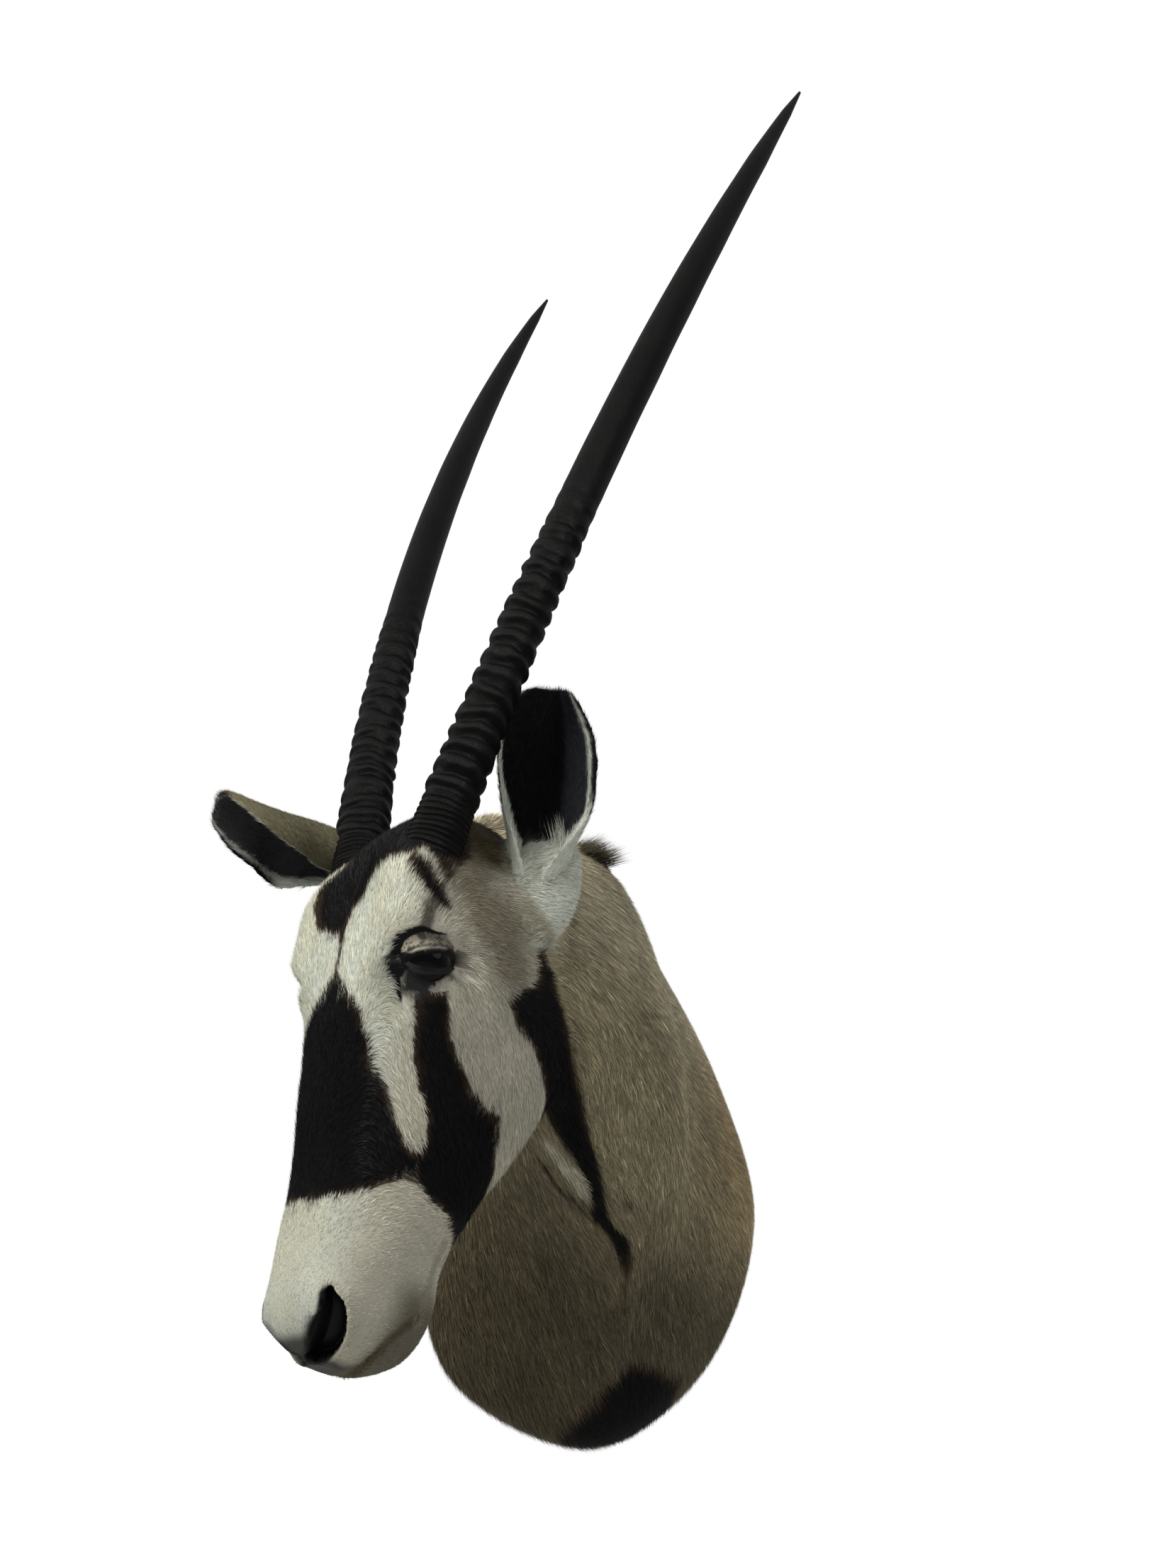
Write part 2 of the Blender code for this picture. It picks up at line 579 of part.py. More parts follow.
def build():
    for thing in list(bpy.data.objects):
        bpy.data.objects.remove(thing)
    hide = finish("hide", (0.23, 0.19, 0.14), 0.85)
    horn = finish("horn", (0.020, 0.017, 0.014), 0.42)
    glass = finish("glass", (0.010, 0.008, 0.007), 0.06)
    wood = finish("wood", (0.40, 0.27, 0.15), 0.60)
    steel = finish("steel", (0.55, 0.55, 0.56), 0.35, 1.0)
    make_cape(hide)
    for name, side in (("left", 1.0), ("right", -1.0)):
        make_horn(f"{name}_horn", side, horn)
        centre = from_head(np.array(EYE_CENTRE) * (side, 1.0, 1.0))
        ball(f"{name}_eye", centre, EYE_RADIUS, 16, 10, glass)
    board = make_board(wood)
    make_hanger(board, steel)


build()
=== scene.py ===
"""The looks of the gemsbok shoulder mount: hide and hair, horns, eyes, board and hanger.

Metres, +Z up. The wall is the plane Y = 0 and the mount stands out from it towards -Y. The head
has a frame of its own: l runs to the animal's left, b from the brow backwards into the head, and
u up along the face, from the nose to the poll.
"""
from itertools import product
from math import cos, pi, radians, sin

import bmesh
import bpy
import numpy as np
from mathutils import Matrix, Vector
from mathutils.kdtree import KDTree


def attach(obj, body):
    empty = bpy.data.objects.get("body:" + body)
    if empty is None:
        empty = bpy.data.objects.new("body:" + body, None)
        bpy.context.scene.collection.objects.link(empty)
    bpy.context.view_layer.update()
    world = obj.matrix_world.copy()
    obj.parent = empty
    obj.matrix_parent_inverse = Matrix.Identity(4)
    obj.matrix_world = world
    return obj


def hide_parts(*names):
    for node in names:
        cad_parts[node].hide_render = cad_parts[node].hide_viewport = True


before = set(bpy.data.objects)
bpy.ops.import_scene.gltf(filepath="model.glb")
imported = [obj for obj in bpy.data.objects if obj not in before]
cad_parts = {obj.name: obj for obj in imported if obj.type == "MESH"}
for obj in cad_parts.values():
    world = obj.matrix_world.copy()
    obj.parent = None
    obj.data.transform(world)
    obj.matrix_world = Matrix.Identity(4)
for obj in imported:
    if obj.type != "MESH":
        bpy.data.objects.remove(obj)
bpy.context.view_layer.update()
SEED = 11
RANDOM = np.random.default_rng(SEED)
MM = 0.001

# ---------------------------------------------------------------- driving dimensions
HEAD_PLACE = (-0.154, -0.596, 0.069)
HEAD_TURN = radians(-48.2)
HEAD_NOD = radians(-12.5)
HORN_LENGTH = 0.938
HORN_SPACING = 0.091
HORN_BASE = (0.0037, -0.0029)
HORN_LEAN_BASE = radians(-3.4)
HORN_LEAN_TIP = radians(13.1)
HORN_SPREAD_BASE = radians(14.9)
HORN_SPREAD_TIP = radians(3.5)
HORN_BEND = 0.67
HORN_ROOT = 0.016
RING_COUNT = 21
RING_END = 0.36
RING_FADE = 0.70
RING_CROWDING = 1.12
RING_HEIGHT = 0.0028
FINE_RINGED = 0.040                   # length above the base with only fine ridges
FINE_PITCH = 0.0042
FINE_HEIGHT = 0.0011
EYE_RADIUS = 0.0190
EYE_CENTRE = (0.0565, 0.013, -0.089)
SKIN_BACK = -0.0183                   # y where the skin ends, just off the board
HAIR_BACK = -0.0188                   # hair grows only on skin before this y
TIP_BACK = -0.002                     # and no hair's tip reaches past this one

HEAD_L = np.array((cos(HEAD_TURN), sin(HEAD_TURN), 0.0))
HEAD_B = np.array((-sin(HEAD_TURN) * cos(HEAD_NOD), cos(HEAD_TURN) * cos(HEAD_NOD), sin(HEAD_NOD)))
HEAD_U = np.cross(HEAD_L, HEAD_B)
HEAD_AXES = np.array((HEAD_L, HEAD_B, HEAD_U))


def from_head(points):
    """Head coordinates (l, b, u) to the part's frame."""
    return np.asarray(points, float) @ HEAD_AXES + np.array(HEAD_PLACE)


def to_head(points):
    return (np.asarray(points, float) - np.array(HEAD_PLACE)) @ HEAD_AXES.T


# ---------------------------------------------------------------- curves and values
def through(rows, places, closed=False):
    """Catmull-Rom curve through rows, read at places counted in rows."""
    rows = np.asarray(rows, float)
    count = len(rows)
    places = np.asarray(places, float)
    low = np.floor(places).astype(int)
    if not closed:
        low = np.clip(low, 0, count - 2)
    share = (places - low).reshape((-1,) + (1,) * (rows.ndim - 1))

    def row(index):
        if closed:
            return rows[index % count]
        inner = rows[np.clip(index, 0, count - 1)]
        before = (index < 0).reshape(share.shape)
        after = (index > count - 1).reshape(share.shape)
        inner = np.where(before, 2 * rows[0] - rows[1], inner)
        return np.where(after, 2 * rows[-1] - rows[-2], inner)

    a, b, c, d = row(low - 1), row(low), row(low + 1), row(low + 2)
    return 0.5 * (2 * b + (c - a) * share + (2 * a - 5 * b + 4 * c - d) * share ** 2
                  + (3 * b - a - 3 * c + d) * share ** 3)


def unit(vector):
    vector = np.asarray(vector, float)
    return vector / np.maximum(np.linalg.norm(vector, axis=-1, keepdims=True), 1e-12)


def smooth_step(low, high, value):
    share = np.clip((value - low) / (high - low), 0.0, 1.0)
    return share * share * (3.0 - 2.0 * share)


def bell(value, middle, breadth):
    return np.exp(-((value - middle) / breadth) ** 2)


LATTICE_SIZE = 32
LATTICE = RANDOM.random((LATTICE_SIZE,) * 3)


def noise(points, size):
    """Smooth random values, 0 to 1, that change over the given size."""
    spot = np.asarray(points, float) / size
    low = np.floor(spot).astype(int)
    part = spot - low
    part = part * part * (3 - 2 * part)
    total = np.zeros(len(spot))
    for corner in product((0, 1), repeat=3):
        weight = np.prod(np.where(corner, part, 1 - part), axis=-1)
        index = (low + corner) % LATTICE_SIZE
        total += weight * LATTICE[index[:, 0], index[:, 1], index[:, 2]]
    return total


def waver(points, *layers):
    """Smooth random values about zero; each layer has its height and its size."""
    return sum(height * (noise(points, size) - 0.5) for height, size in layers)


def line_distance(points, line):
    """Distance of points to a chain of segments, and the place along it counted in rows."""
    line = np.asarray(line, float)
    best = np.full(len(points), np.inf)
    place = np.zeros(len(points))
    for i, (start, end) in enumerate(zip(line, line[1:])):
        side = end - start
        share = np.clip((points - start) @ side / (side @ side), 0, 1)
        far = np.linalg.norm(points - start - share[:, None] * side, axis=1)
        nearer = far < best
        best = np.where(nearer, far, best)
        place = np.where(nearer, i + share, place)
    return best, place


def from_line(points, line):
    """Distance in millimetres of points in metres to a line in millimetres."""
    return line_distance(points / MM, line)[0]


def outline_distance(spots, outline):
    """Distance of flat spots to a closed outline, negative inside it."""
    outline = np.asarray(outline, float)
    nearest = np.full(len(spots), np.inf)
    inside = np.zeros(len(spots), bool)
    for start, end in zip(outline, np.roll(outline, -1, axis=0)):
        side = end - start
        offset = spots - start
        share = np.clip(offset @ side / (side @ side), 0, 1)
        nearest = np.minimum(nearest, ((offset - share[:, None] * side) ** 2).sum(axis=1))
        crossing = (start[1] > spots[:, 1]) != (end[1] > spots[:, 1])
        rise = side[1] if side[1] else 1e-9
        inside ^= crossing & (offset[:, 0] < offset[:, 1] * side[0] / rise)
    return np.sqrt(nearest) * np.where(inside, -1, 1)


# ---------------------------------------------------------------- head, neck and ears
# Each row is a section across the face at height u, in millimetres: the front line's b, the
# corner beside it (l, b), the widest point (l, b), the jaw (l, b) and the back line's b.
HEAD_SECTIONS = (
    (-345, 38, (8, 41), (12, 52), (8, 64), 68),
    (-339, 25, (20, 30), (26, 50), (20, 74), 83),
    (-328, 14, (27, 20), (35, 46), (28, 84), 99),
    (-312, 7, (29, 12), (40, 44), (33, 90), 109),
    (-292, 4, (28, 9), (42, 43), (34, 93), 114),
    (-268, 2, (26, 6), (43, 45), (33, 92), 114),
    (-243, 0, (26, 5), (45, 46), (34, 97), 120),
    (-215, -4, (28, 2), (49, 46), (36, 106), 131),
    (-185, -8, (32, -2), (54, 48), (39, 120), 146),
    (-155, -12, (36, -5), (59, 48), (43, 132), 160),
    (-125, -16, (44, -8), (65, 44), (46, 142), 170),
    (-95, -20, (57, -14), (71, 30), (48, 146), 178),
    (-65, -22, (60, -17), (71, 34), (48, 142), 180),
    (-35, -21, (53, -16), (66, 44), (46, 134), 172),
    (-5, -18, (43, -10), (60, 48), (43, 122), 160),
    (20, -12, (38, -4), (55, 50), (38, 110), 146),
    (44, 5, (29, 11), (44, 52), (31, 94), 120),
    (58, 28, (14, 32), (22, 52), (14, 76), 86),
)
# Swellings and hollows of the head: middle, radii and push, in millimetres, on both sides.
HEAD_FORMS = (
    ((63, -6, -72), (16, 18, 20), (6, -6, 1)),
    ((70, 34, -90), (12, 13, 22), (5, 0, 0)),
    ((73, 11, -91), (14, 18, 12), (-8, 1, 0)),
    ((58, 2, -122), (12, 14, 12), (-3, 2, 0)),
    ((60, 70, -105), (18, 36, 36), (3, 0, 0)),
    ((34, 26, -318), (10, 16, 16), (4, -3, -2)),
    ((44, 40, -275), (14, 24, 18), (3, 0, 0)),
    ((45, -10, -14), (26, 18, 22), (2, -8, 3)),
    ((60, 8, -14), (18, 24, 22), (8, 0, 3)),
    ((54, -14, -36), (18, 18, 30), (9, -8, 0)),
)
# Rows from the head to the wall: the mane line's point, the throat line's point, the half width
# to the animal's left and to its right, and how far the section has turned to the wall's side.
NECK_SECTIONS = (
    ((-0.112, -0.560, 0.105), (-0.070, -0.515, -0.050), 0.044, 0.046, 0.00),
    ((-0.084, -0.528, 0.132), (-0.035, -0.485, -0.085), 0.060, 0.072, 0.20),
    ((-0.044, -0.483, 0.139), (-0.018, -0.420, -0.122), 0.066, 0.100, 0.45),
    ((-0.004, -0.408, 0.147), (0.000, -0.350, -0.176), 0.070, 0.132, 0.70),
    ((0.000, -0.310, 0.168), (-0.008, -0.275, -0.248), 0.084, 0.146, 0.90),
    ((0.000, -0.200, 0.190), (-0.010, -0.215, -0.293), 0.120, 0.148, 1.00),
    ((0.000, -0.100, 0.205), (-0.003, -0.130, -0.290), 0.147, 0.152, 1.00),
    ((0.000, SKIN_BACK, 0.215), (0.000, SKIN_BACK, -0.262), 0.158, 0.158, 1.00),
)
# Half a section's outline on either side: how far down it is, and the share of the half width.
NECK_LEFT = ((0.0, 0.0), (0.09, 0.42), (0.32, 0.80), (0.60, 1.0), (0.86, 0.70), (1.0, 0.0))
NECK_RIGHT = ((0.0, 0.0), (0.09, 0.42), (0.32, 0.80), (0.65, 1.01), (0.89, 0.81), (1.0, 0.0))
WALL_SIDE = np.array((1.0, 0.0, 0.0))
# The mane's ridge: its height at those rows, and its outline across and up.
MANE_HEIGHTS = (0.008, 0.010, 0.009, 0.009, 0.008, 0.007, 0.006, 0.005)
MANE_FOOT = 0.012
MANE_OUTLINE = ((-0.013, -1), (0.013, -1), (0.010, 0.3), (0.003, 1), (-0.003, 1), (-0.010, 0.3))
# Rows from an ear's root to its tip: place along it, half the breadth of its skin laid flat, the
# half angle through which that skin is curled, the shift of its back, and how far its outer and
# its inner half reach sideways.
EAR_SECTIONS = (
    (0.00, 0.046, radians(162), 0.000, 1.00, 1.00),
    (0.22, 0.048, radians(160), 0.001, 1.05, 1.00),
    (0.35, 0.052, radians(132), 0.002, 1.20, 0.95),
    (0.48, 0.055, radians(98), 0.002, 1.15, 0.93),
    (0.64, 0.055, radians(79), 0.000, 1.00, 0.96),
    (0.79, 0.050, radians(66), -0.003, 0.88, 1.00),
    (0.91, 0.040, radians(54), -0.007, 0.70, 1.00),
    (0.975, 0.030, radians(44), -0.010, 0.60, 0.90),
    (1.00, 0.020, radians(34), -0.011, 0.65, 0.80),
)
EAR_SKIN = 0.0052
EAR_SKIN_THINNING = 0.45              # share by which that skin is thinner at its edges
EAR_LEAST_RADIUS = 0.001              # of the hollow
EAR_FLARE_POWER = 14                  # the higher, the nearer to the tip the flare begins
EAR_PINCH = (0.72, 0.14, 0.28)        # the waist before the flare: its place, length and depth
EAR_ROOT_ROWS = 1.9                   # rows of the table that an ear's closed root follows
EAR_ROOT_SWELL = 0.0006
EAR_TAPER_START = 0.45                # share of the root from which it tapers
EAR_ROOT_TAPER = 0.85                 # and by how much in all
EAR_BENT = 0.45                       # share of an ear's length over which its stem bends
# Each ear: its root, its tip, the way its hollow faces, a factor for its breadth, how far the
# stem's end is bent away from the straight line, and how far the tip flares outwards.
LEFT_EAR = ((0.038, 0.104, -0.030), (0.076, 0.056, 0.170), (0.78, -0.55, -0.20), 1.0, (0, 0, 0), 0.0)
RIGHT_EAR = ((-0.072, 0.009, 0.064), (-0.1085, -0.096, 0.0385), (-0.15, -0.16, -1.0), 1.18,
             (0.030, 0.050, -0.034), 0.9)
# Swellings that the ears grow from: middle and radii.
EAR_BASES = (((0.058, 0.092, 0.010), (0.021, 0.025, 0.036)), ((0.062, 0.106, 0.016), (0.018, 0.019, 0.044)),
             ((-0.048, 0.062, 0.018), (0.021, 0.025, 0.034)))


def flat_rows(sections):
    return [np.hstack([np.ravel(value) for value in row]) for row in sections]


def round_angles(count):
    return np.arange(count) * 2 * pi / count


def head_rings(count, around):
    rings = []
    for section in through(flat_rows(HEAD_SECTIONS), np.linspace(0, len(HEAD_SECTIONS) - 1, count)):
        u, front, corner_l, corner_b, wide_l, wide_b, jaw_l, jaw_b, back = section
        half = [(0, front), (corner_l, corner_b), (wide_l, wide_b), (jaw_l, jaw_b), (0, back)]
        other = [(-l, b) for l, b in half[3:0:-1]]
        outline = through(half + other, np.arange(around) * 8.0 / around, closed=True)
        rings.append(np.column_stack((outline, np.full(around, u))) * MM)
    return np.array(rings)


def shape_head(points):
    """Push head coordinates out or in by the named forms."""
    points = np.array(points, float)
    for middle, radii, push in HEAD_FORMS:
        for side in (1.0, -1.0):
            mirror = np.array((side, 1.0, 1.0))
            offset = (points - np.array(middle) * MM * mirror) / (np.array(radii) * MM)
            weight = np.exp(-(offset ** 2).sum(axis=-1))
            points = points + weight[..., None] * np.array(push) * MM * mirror
    return points


def neck_frame(section):
    mane, throat = section[:3], section[3:6]
    turned = section[8]
    side = unit(HEAD_L * (1.0 - turned) + WALL_SIDE * turned)
    return mane, throat, side


def neck_rings(count, around):
    rings = []
    for section in through(flat_rows(NECK_SECTIONS), np.linspace(0, len(NECK_SECTIONS) - 1, count)):
        mane, throat, side = neck_frame(section)
        left = [(depth, share * section[6]) for depth, share in NECK_LEFT]
        right = [(depth, -share * section[7]) for depth, share in NECK_RIGHT[-2:0:-1]]
        outline = through(left + right, np.arange(around) * 10.0 / around, closed=True)
        rings.append(mane + outline[:, :1] * (throat - mane) + outline[:, 1:] * side)
    return np.array(rings)


def mane_rings(count):
    rows = [np.append(row, height) for row, height in zip(flat_rows(NECK_SECTIONS), MANE_HEIGHTS)]
    rings = []
    for section in through(rows, np.linspace(0.3, len(rows) - 1.12, count)):
        mane, throat, side = neck_frame(section)
        up = unit(mane - throat)
        outline = [(across, -MANE_FOOT if rise < 0 else rise * section[9])
                   for across, rise in MANE_OUTLINE]
        rings.append([mane + side * across + up * rise for across, rise in outline])
    return np.array(rings)


def ear_base_rings(middle, radii, count, around):
    """An ellipsoid, open by a little at both ends."""
    rings = []
    angle = round_angles(around)
    for tilt in np.linspace(-0.97, 0.97, count) * pi / 2:
        ball = np.column_stack((cos(tilt) * np.cos(angle), cos(tilt) * np.sin(angle),
                                np.full(around, sin(tilt))))
        rings.append(np.array(middle) + ball * radii)
    return np.array(rings)


def ear_line(ear, along):
    """The point of an ear's middle line at a share of its length."""
    root, tip, bend = np.array(ear[0]), np.array(ear[1]), np.array(ear[4])
    return root + (tip - root) * along + bend * max(1.0 - along / EAR_BENT, 0.0) ** 2


def ear_axes(ear):
    """The way an ear's hollow faces, and the direction across the hollow."""
    axis = unit(np.array(ear[1]) - np.array(ear[0]))
    facing = unit(np.array(ear[2]) - np.dot(ear[2], axis) * axis)
    return facing, np.cross(axis, facing)


def ear_root_rings(ear, count, around):
    """The closed, tapering lower end inside an ear."""
    facing, across = ear_axes(ear)
    angle = round_angles(around)
    rings = []
    for share in np.linspace(0, 1, count):
        along, half, curl, shift, *_ = through(EAR_SECTIONS, [EAR_ROOT_ROWS * share])[0]
        radius = ear[3] * half / curl
        middle = ear_line(ear, along) + facing * (shift + radius - 0.5 * EAR_SKIN)
        taper = EAR_ROOT_TAPER * smooth_step(EAR_TAPER_START, 1.0, share)
        reach = (radius + EAR_ROOT_SWELL) * (1.0 - taper)
        rings.append(middle + reach * (np.cos(angle)[:, None] * facing
                                       + np.sin(angle)[:, None] * across))
    return np.array(rings)


def ear_rings(ear, count, across_count):
    """Crescent sections of a cupped ear: its back, then its inside, in head coordinates."""
    facing, across = ear_axes(ear)
    outer = np.sign(ear[0][0])
    turn = np.linspace(-1, 1, across_count)
    skin = EAR_SKIN * (1.0 - EAR_SKIN_THINNING * turn ** 4)
    waist, length, depth = EAR_PINCH
    rings = []
    for section in through(EAR_SECTIONS, np.linspace(0, len(EAR_SECTIONS) - 1, count)):
        along, half, curl, shift, outward, inward = section
        radius = ear[3] * half / curl
        middle = ear_line(ear, along) + facing * (shift - 0.5 * EAR_SKIN)
        angle = np.append(turn, turn[::-1]) * curl
        pinch = depth * bell(along, waist, length)
        outward = outward + ear[5] * (max(along, 0.0) ** EAR_FLARE_POWER - pinch)
        stretch = np.where(angle * outer > 0, outward, inward)
        inside = radius - skin / np.minimum(stretch[:across_count], 1.0)
        reach = np.append(np.full(across_count, radius), np.maximum(inside, EAR_LEAST_RADIUS)[::-1])
        aside = reach * np.sin(angle) * stretch
        ring = middle + facing * (radius - reach * np.cos(angle))[:, None]
        rings.append(ring + across * aside[:, None])
    return np.array(rings)


# ---------------------------------------------------------------- meshes
def ring_faces(count, around, hollow=False):
    """Faces of a closed loft. A hollow, crescent-shaped section ends in a strip of quads."""
    here = np.arange(count - 1)[:, None] * around
    i = np.arange(around)[None]
    j = (i + 1) % around
    faces = np.stack((here + i, here + j, here + around + j, here + around + i), -1).reshape(-1, 4)
    faces = faces.tolist()
    end = (count - 1) * around
    last = around - 1
    if hollow:
        for k in range(around // 2 - 1):
            strip = [k, k + 1, last - 1 - k, last - k]
            faces += [strip[::-1], [end + v for v in strip]]
    else:
        faces += [list(range(around))[::-1], list(range(end, end + around))]
    return faces


def show(name, mesh, material=None):
    """An object with the mesh, smooth and in the scene."""
    mesh.shade_smooth()
    if material:
        mesh.materials.append(material)
    thing = bpy.data.objects.new(name, mesh)
    bpy.context.scene.collection.objects.link(thing)
    return thing


def mesh_object(name, points, faces, material=None):
    mesh = bpy.data.meshes.new(name)
    mesh.from_pydata(np.asarray(points).tolist(), [], faces)
    mesh.validate()
    return show(name, mesh, material)


def triangle_object(name, points, triangles, material):
    """A mesh of triangles from arrays."""
    mesh = bpy.data.meshes.new(name)
    mesh.vertices.add(len(points))
    mesh.vertices.foreach_set("co", np.asarray(points, np.float32).ravel())
    mesh.loops.add(3 * len(triangles))
    mesh.loops.foreach_set("vertex_index", np.asarray(triangles, np.int32).ravel())
    mesh.polygons.add(len(triangles))
    mesh.polygons.foreach_set("loop_start", np.arange(len(triangles), dtype=np.int32) * 3)
    mesh.update(calc_edges=True)
    return show(name, mesh, material)


def set_colours(thing, name, colours):
    layer = thing.data.color_attributes.new(name, "FLOAT_COLOR", "POINT")
    rgba = np.ones((len(colours), 4), np.float32)
    rgba[:, :3] = colours
    layer.data.foreach_set("color", rgba.ravel())


def set_values(thing, name, values):
    layer = thing.data.attributes.new(name, "FLOAT", "POINT")
    layer.data.foreach_set("value", np.asarray(values, np.float32))


def evaluated_arrays(thing):
    """Points and triangles of an object with its modifiers applied."""
    graph = bpy.context.evaluated_depsgraph_get()
    mesh = thing.evaluated_get(graph).to_mesh()
    mesh.calc_loop_triangles()
    points = np.zeros(len(mesh.vertices) * 3, np.float32)
    mesh.vertices.foreach_get("co", points)
    triangles = np.zeros(len(mesh.loop_triangles) * 3, np.int32)
    mesh.loop_triangles.foreach_get("vertices", triangles)
    return points.reshape(-1, 3).astype(float), triangles.reshape(-1, 3)


def triangle_normals(points, triangles):
    """Normals of triangles, as long as twice their areas."""
    a, b, c = (points[triangles[:, k]] for k in range(3))
    return np.cross(b - a, c - a)


def point_normals(points, triangles):
    total = np.zeros_like(points)
    normals = triangle_normals(points, triangles)
    for k in range(3):
        for axis in range(3):
            total[:, axis] += np.bincount(triangles[:, k], normals[:, axis], len(points))
    return unit(total)


def mesh_edges(triangles):
    """The edges as sorted pairs, and for each triangle the edges 0-1, 1-2 and 2-0."""
    pairs = np.vstack([triangles[:, pair] for pair in ((0, 1), (1, 2), (2, 0))])
    edges, places = np.unique(np.sort(pairs, axis=1), axis=0, return_inverse=True)
    return edges, places.reshape(3, -1).T


def spread_values(values, edges, rounds, share=0.5):
    """Even out values over a mesh, each point towards the mean of its neighbours."""
    values = np.array(values, float)
    flat = values.reshape(len(values), -1)
    count = np.bincount(edges.ravel(), minlength=len(values))
    for _ in range(rounds):
        for column in range(flat.shape[1]):
            total = (np.bincount(edges[:, 0], flat[edges[:, 1], column], len(values))
                     + np.bincount(edges[:, 1], flat[edges[:, 0], column], len(values)))
            flat[:, column] += share * (total / np.maximum(count, 1) - flat[:, column])
    return flat.reshape(values.shape)


def refine(points, triangles, chosen):
    """Halve all edges of the chosen triangles, and split their neighbours to match."""
    edges, of_triangle = mesh_edges(triangles)
    halved = np.zeros(len(edges), bool)
    halved[of_triangle[chosen].ravel()] = True
    middle = np.full(len(edges), -1)
    middle[halved] = len(points) + np.arange(halved.sum())
    points = np.vstack((points, points[edges[halved]].mean(axis=1)))
    cuts = middle[of_triangle]
    number = (cuts >= 0).sum(axis=1)
    parts = [triangles[number == 0]]
    for k in range(3):
        turned = np.roll(triangles, -k, axis=1)
        cut = np.roll(cuts, -k, axis=1)
        one = (number == 1) & (cut[:, 0] >= 0)
        a, b, c = turned[one].T
        m = cut[one, 0]
        parts += [np.column_stack((a, m, c)), np.column_stack((m, b, c))]
        two = (number == 2) & (cut[:, 2] < 0)
        a, b, c = turned[two].T
        m, n = cut[two, 0], cut[two, 1]
        parts += [np.column_stack((m, b, n)), np.column_stack((a, m, n)), np.column_stack((a, n, c))]
    three = number == 3
    a, b, c = triangles[three].T
    m, n, o = cuts[three].T
    parts += [np.column_stack(rows) for rows in ((a, m, o), (m, b, n), (o, n, c), (m, n, o))]
    return points, np.vstack(parts)


# ---------------------------------------------------------------- the skin's first form
SKIN_GRAIN = 0.0024                   # the voxels in which the forms become one skin
SKIN_TRIANGLES = 112000
HAIR_DEPTH = 0.0012                   # how far the skin lies under the outline of its hair
HEAD, NECK, EAR, MANE = range(4)


def make_forms():
    """Points, faces, part and hair direction of all the forms under the skin."""
    forms = [(HEAD, from_head(shape_head(head_rings(150, 132))), False),
             (NECK, neck_rings(120, 150), False), (MANE, mane_rings(90), False)]
    for middle, radii in EAR_BASES:
        forms.append((HEAD, from_head(ear_base_rings(middle, radii, 24, 32)), False))
    for ear in (LEFT_EAR, RIGHT_EAR):
        forms += [(HEAD, from_head(ear_root_rings(ear, 24, 36)), False),
                  (EAR, from_head(ear_rings(ear, 65, 41)), True)]
    points, faces, parts, flows, ears = [], [], [], [], []
    start = 0
    for part, rings, hollow in forms:
        count, around = rings.shape[:2]
        points.append(rings.reshape(-1, 3))
        faces += [[start + v for v in face] for face in ring_faces(count, around, hollow)]
        parts.append(np.full(count * around, part))
        flows.append(unit(np.gradient(rings, axis=0)).reshape(-1, 3))
        spot = np.zeros((count, around, 3))
        if hollow:
            half = around // 2
            turn = np.linspace(-1, 1, half)
            spot[:, :, 0] = np.linspace(0, 1, count)[:, None]
            spot[:, :, 1] = np.append(turn, turn[::-1])
            spot[:, half:, 2] = 1.0
        ears.append(spot.reshape(-1, 3))
        start += count * around
    return np.vstack(points), faces, np.hstack(parts), np.vstack(flows), np.vstack(ears)


def first_skin(points, faces):
    """One thin-faced skin over the overlapping forms."""
    blank = mesh_object("skin_forms", points, faces)
    mesh = bmesh.new()
    mesh.from_mesh(blank.data)
    bmesh.ops.recalc_face_normals(mesh, faces=mesh.faces)
    mesh.to_mesh(blank.data)
    mesh.free()
    step = blank.modifiers.new("one_skin", "REMESH")
    step.mode = "VOXEL"
    step.voxel_size = SKIN_GRAIN
    even = blank.modifiers.new("even", "SMOOTH")
    even.factor = 0.5
    even.iterations = 4
    found = evaluated_arrays(blank)
    thin = blank.modifiers.new("fewer_faces", "DECIMATE")
    thin.ratio = SKIN_TRIANGLES / len(found[1])
    thin.use_collapse_triangulate = True
    found = evaluated_arrays(blank)
    bpy.data.objects.remove(blank)
    return found


# ---------------------------------------------------------------- eyes, nostrils and mouth
EYE_GAZE = unit((0.93, -0.30, -0.20))
EYE_REAR = np.array((0.351, 0.887, 0.301))
EYE_UP = np.array((0.087, -0.351, 0.932))
# The opening between the lids, seen along the gaze: towards the rear corner and up, in mm.
EYE_OPENING = ((-14, -1.5), (-11, 0.6), (-6, 1.9), (0, 2.4), (7, 2.9), (13, 2.6), (17, 0.8), (18.5, -2),
               (16, -4.2), (11, -5.9), (5, -7.0), (-2, -7.2), (-8, -6.2), (-12, -4.2))
# Black skin round the opening, over the ball like it: behind the rear corner and before the front
# one. Along the crease over the upper lid, with half its breadth, the black is painted shade.
REAR_CORNER = ((8, 1), (12.3, 5.6), (20, 7.5), (27, 8), (29, 4.5), (29, -1.5), (24, -6), (17.3, -7.5),
               (12, -6))
FRONT_CORNER = ((-12, 2), (-18, 4), (-23, 5), (-27, 2.6), (-24.5, -6), (-23, -12), (-18, -12), (-16.5, -8),
                (-12, -6))
LID_CREASE = ((-24.3, 2.3), (-21.6, 8.5), (-17.4, 12.0), (-13.1, 13.5), (-9.5, 14.5), (-5.8, 15.6),
              (-2.2, 16.6), (3.6, 17.5), (9.6, 18.0), (14.0, 17.8))
LID_CREASE_SHADE_HALF = (3.0, 2.3, 1.6, 1.0, 0.8, 0.7, 0.6, 0.5, 0.4, 0.2)
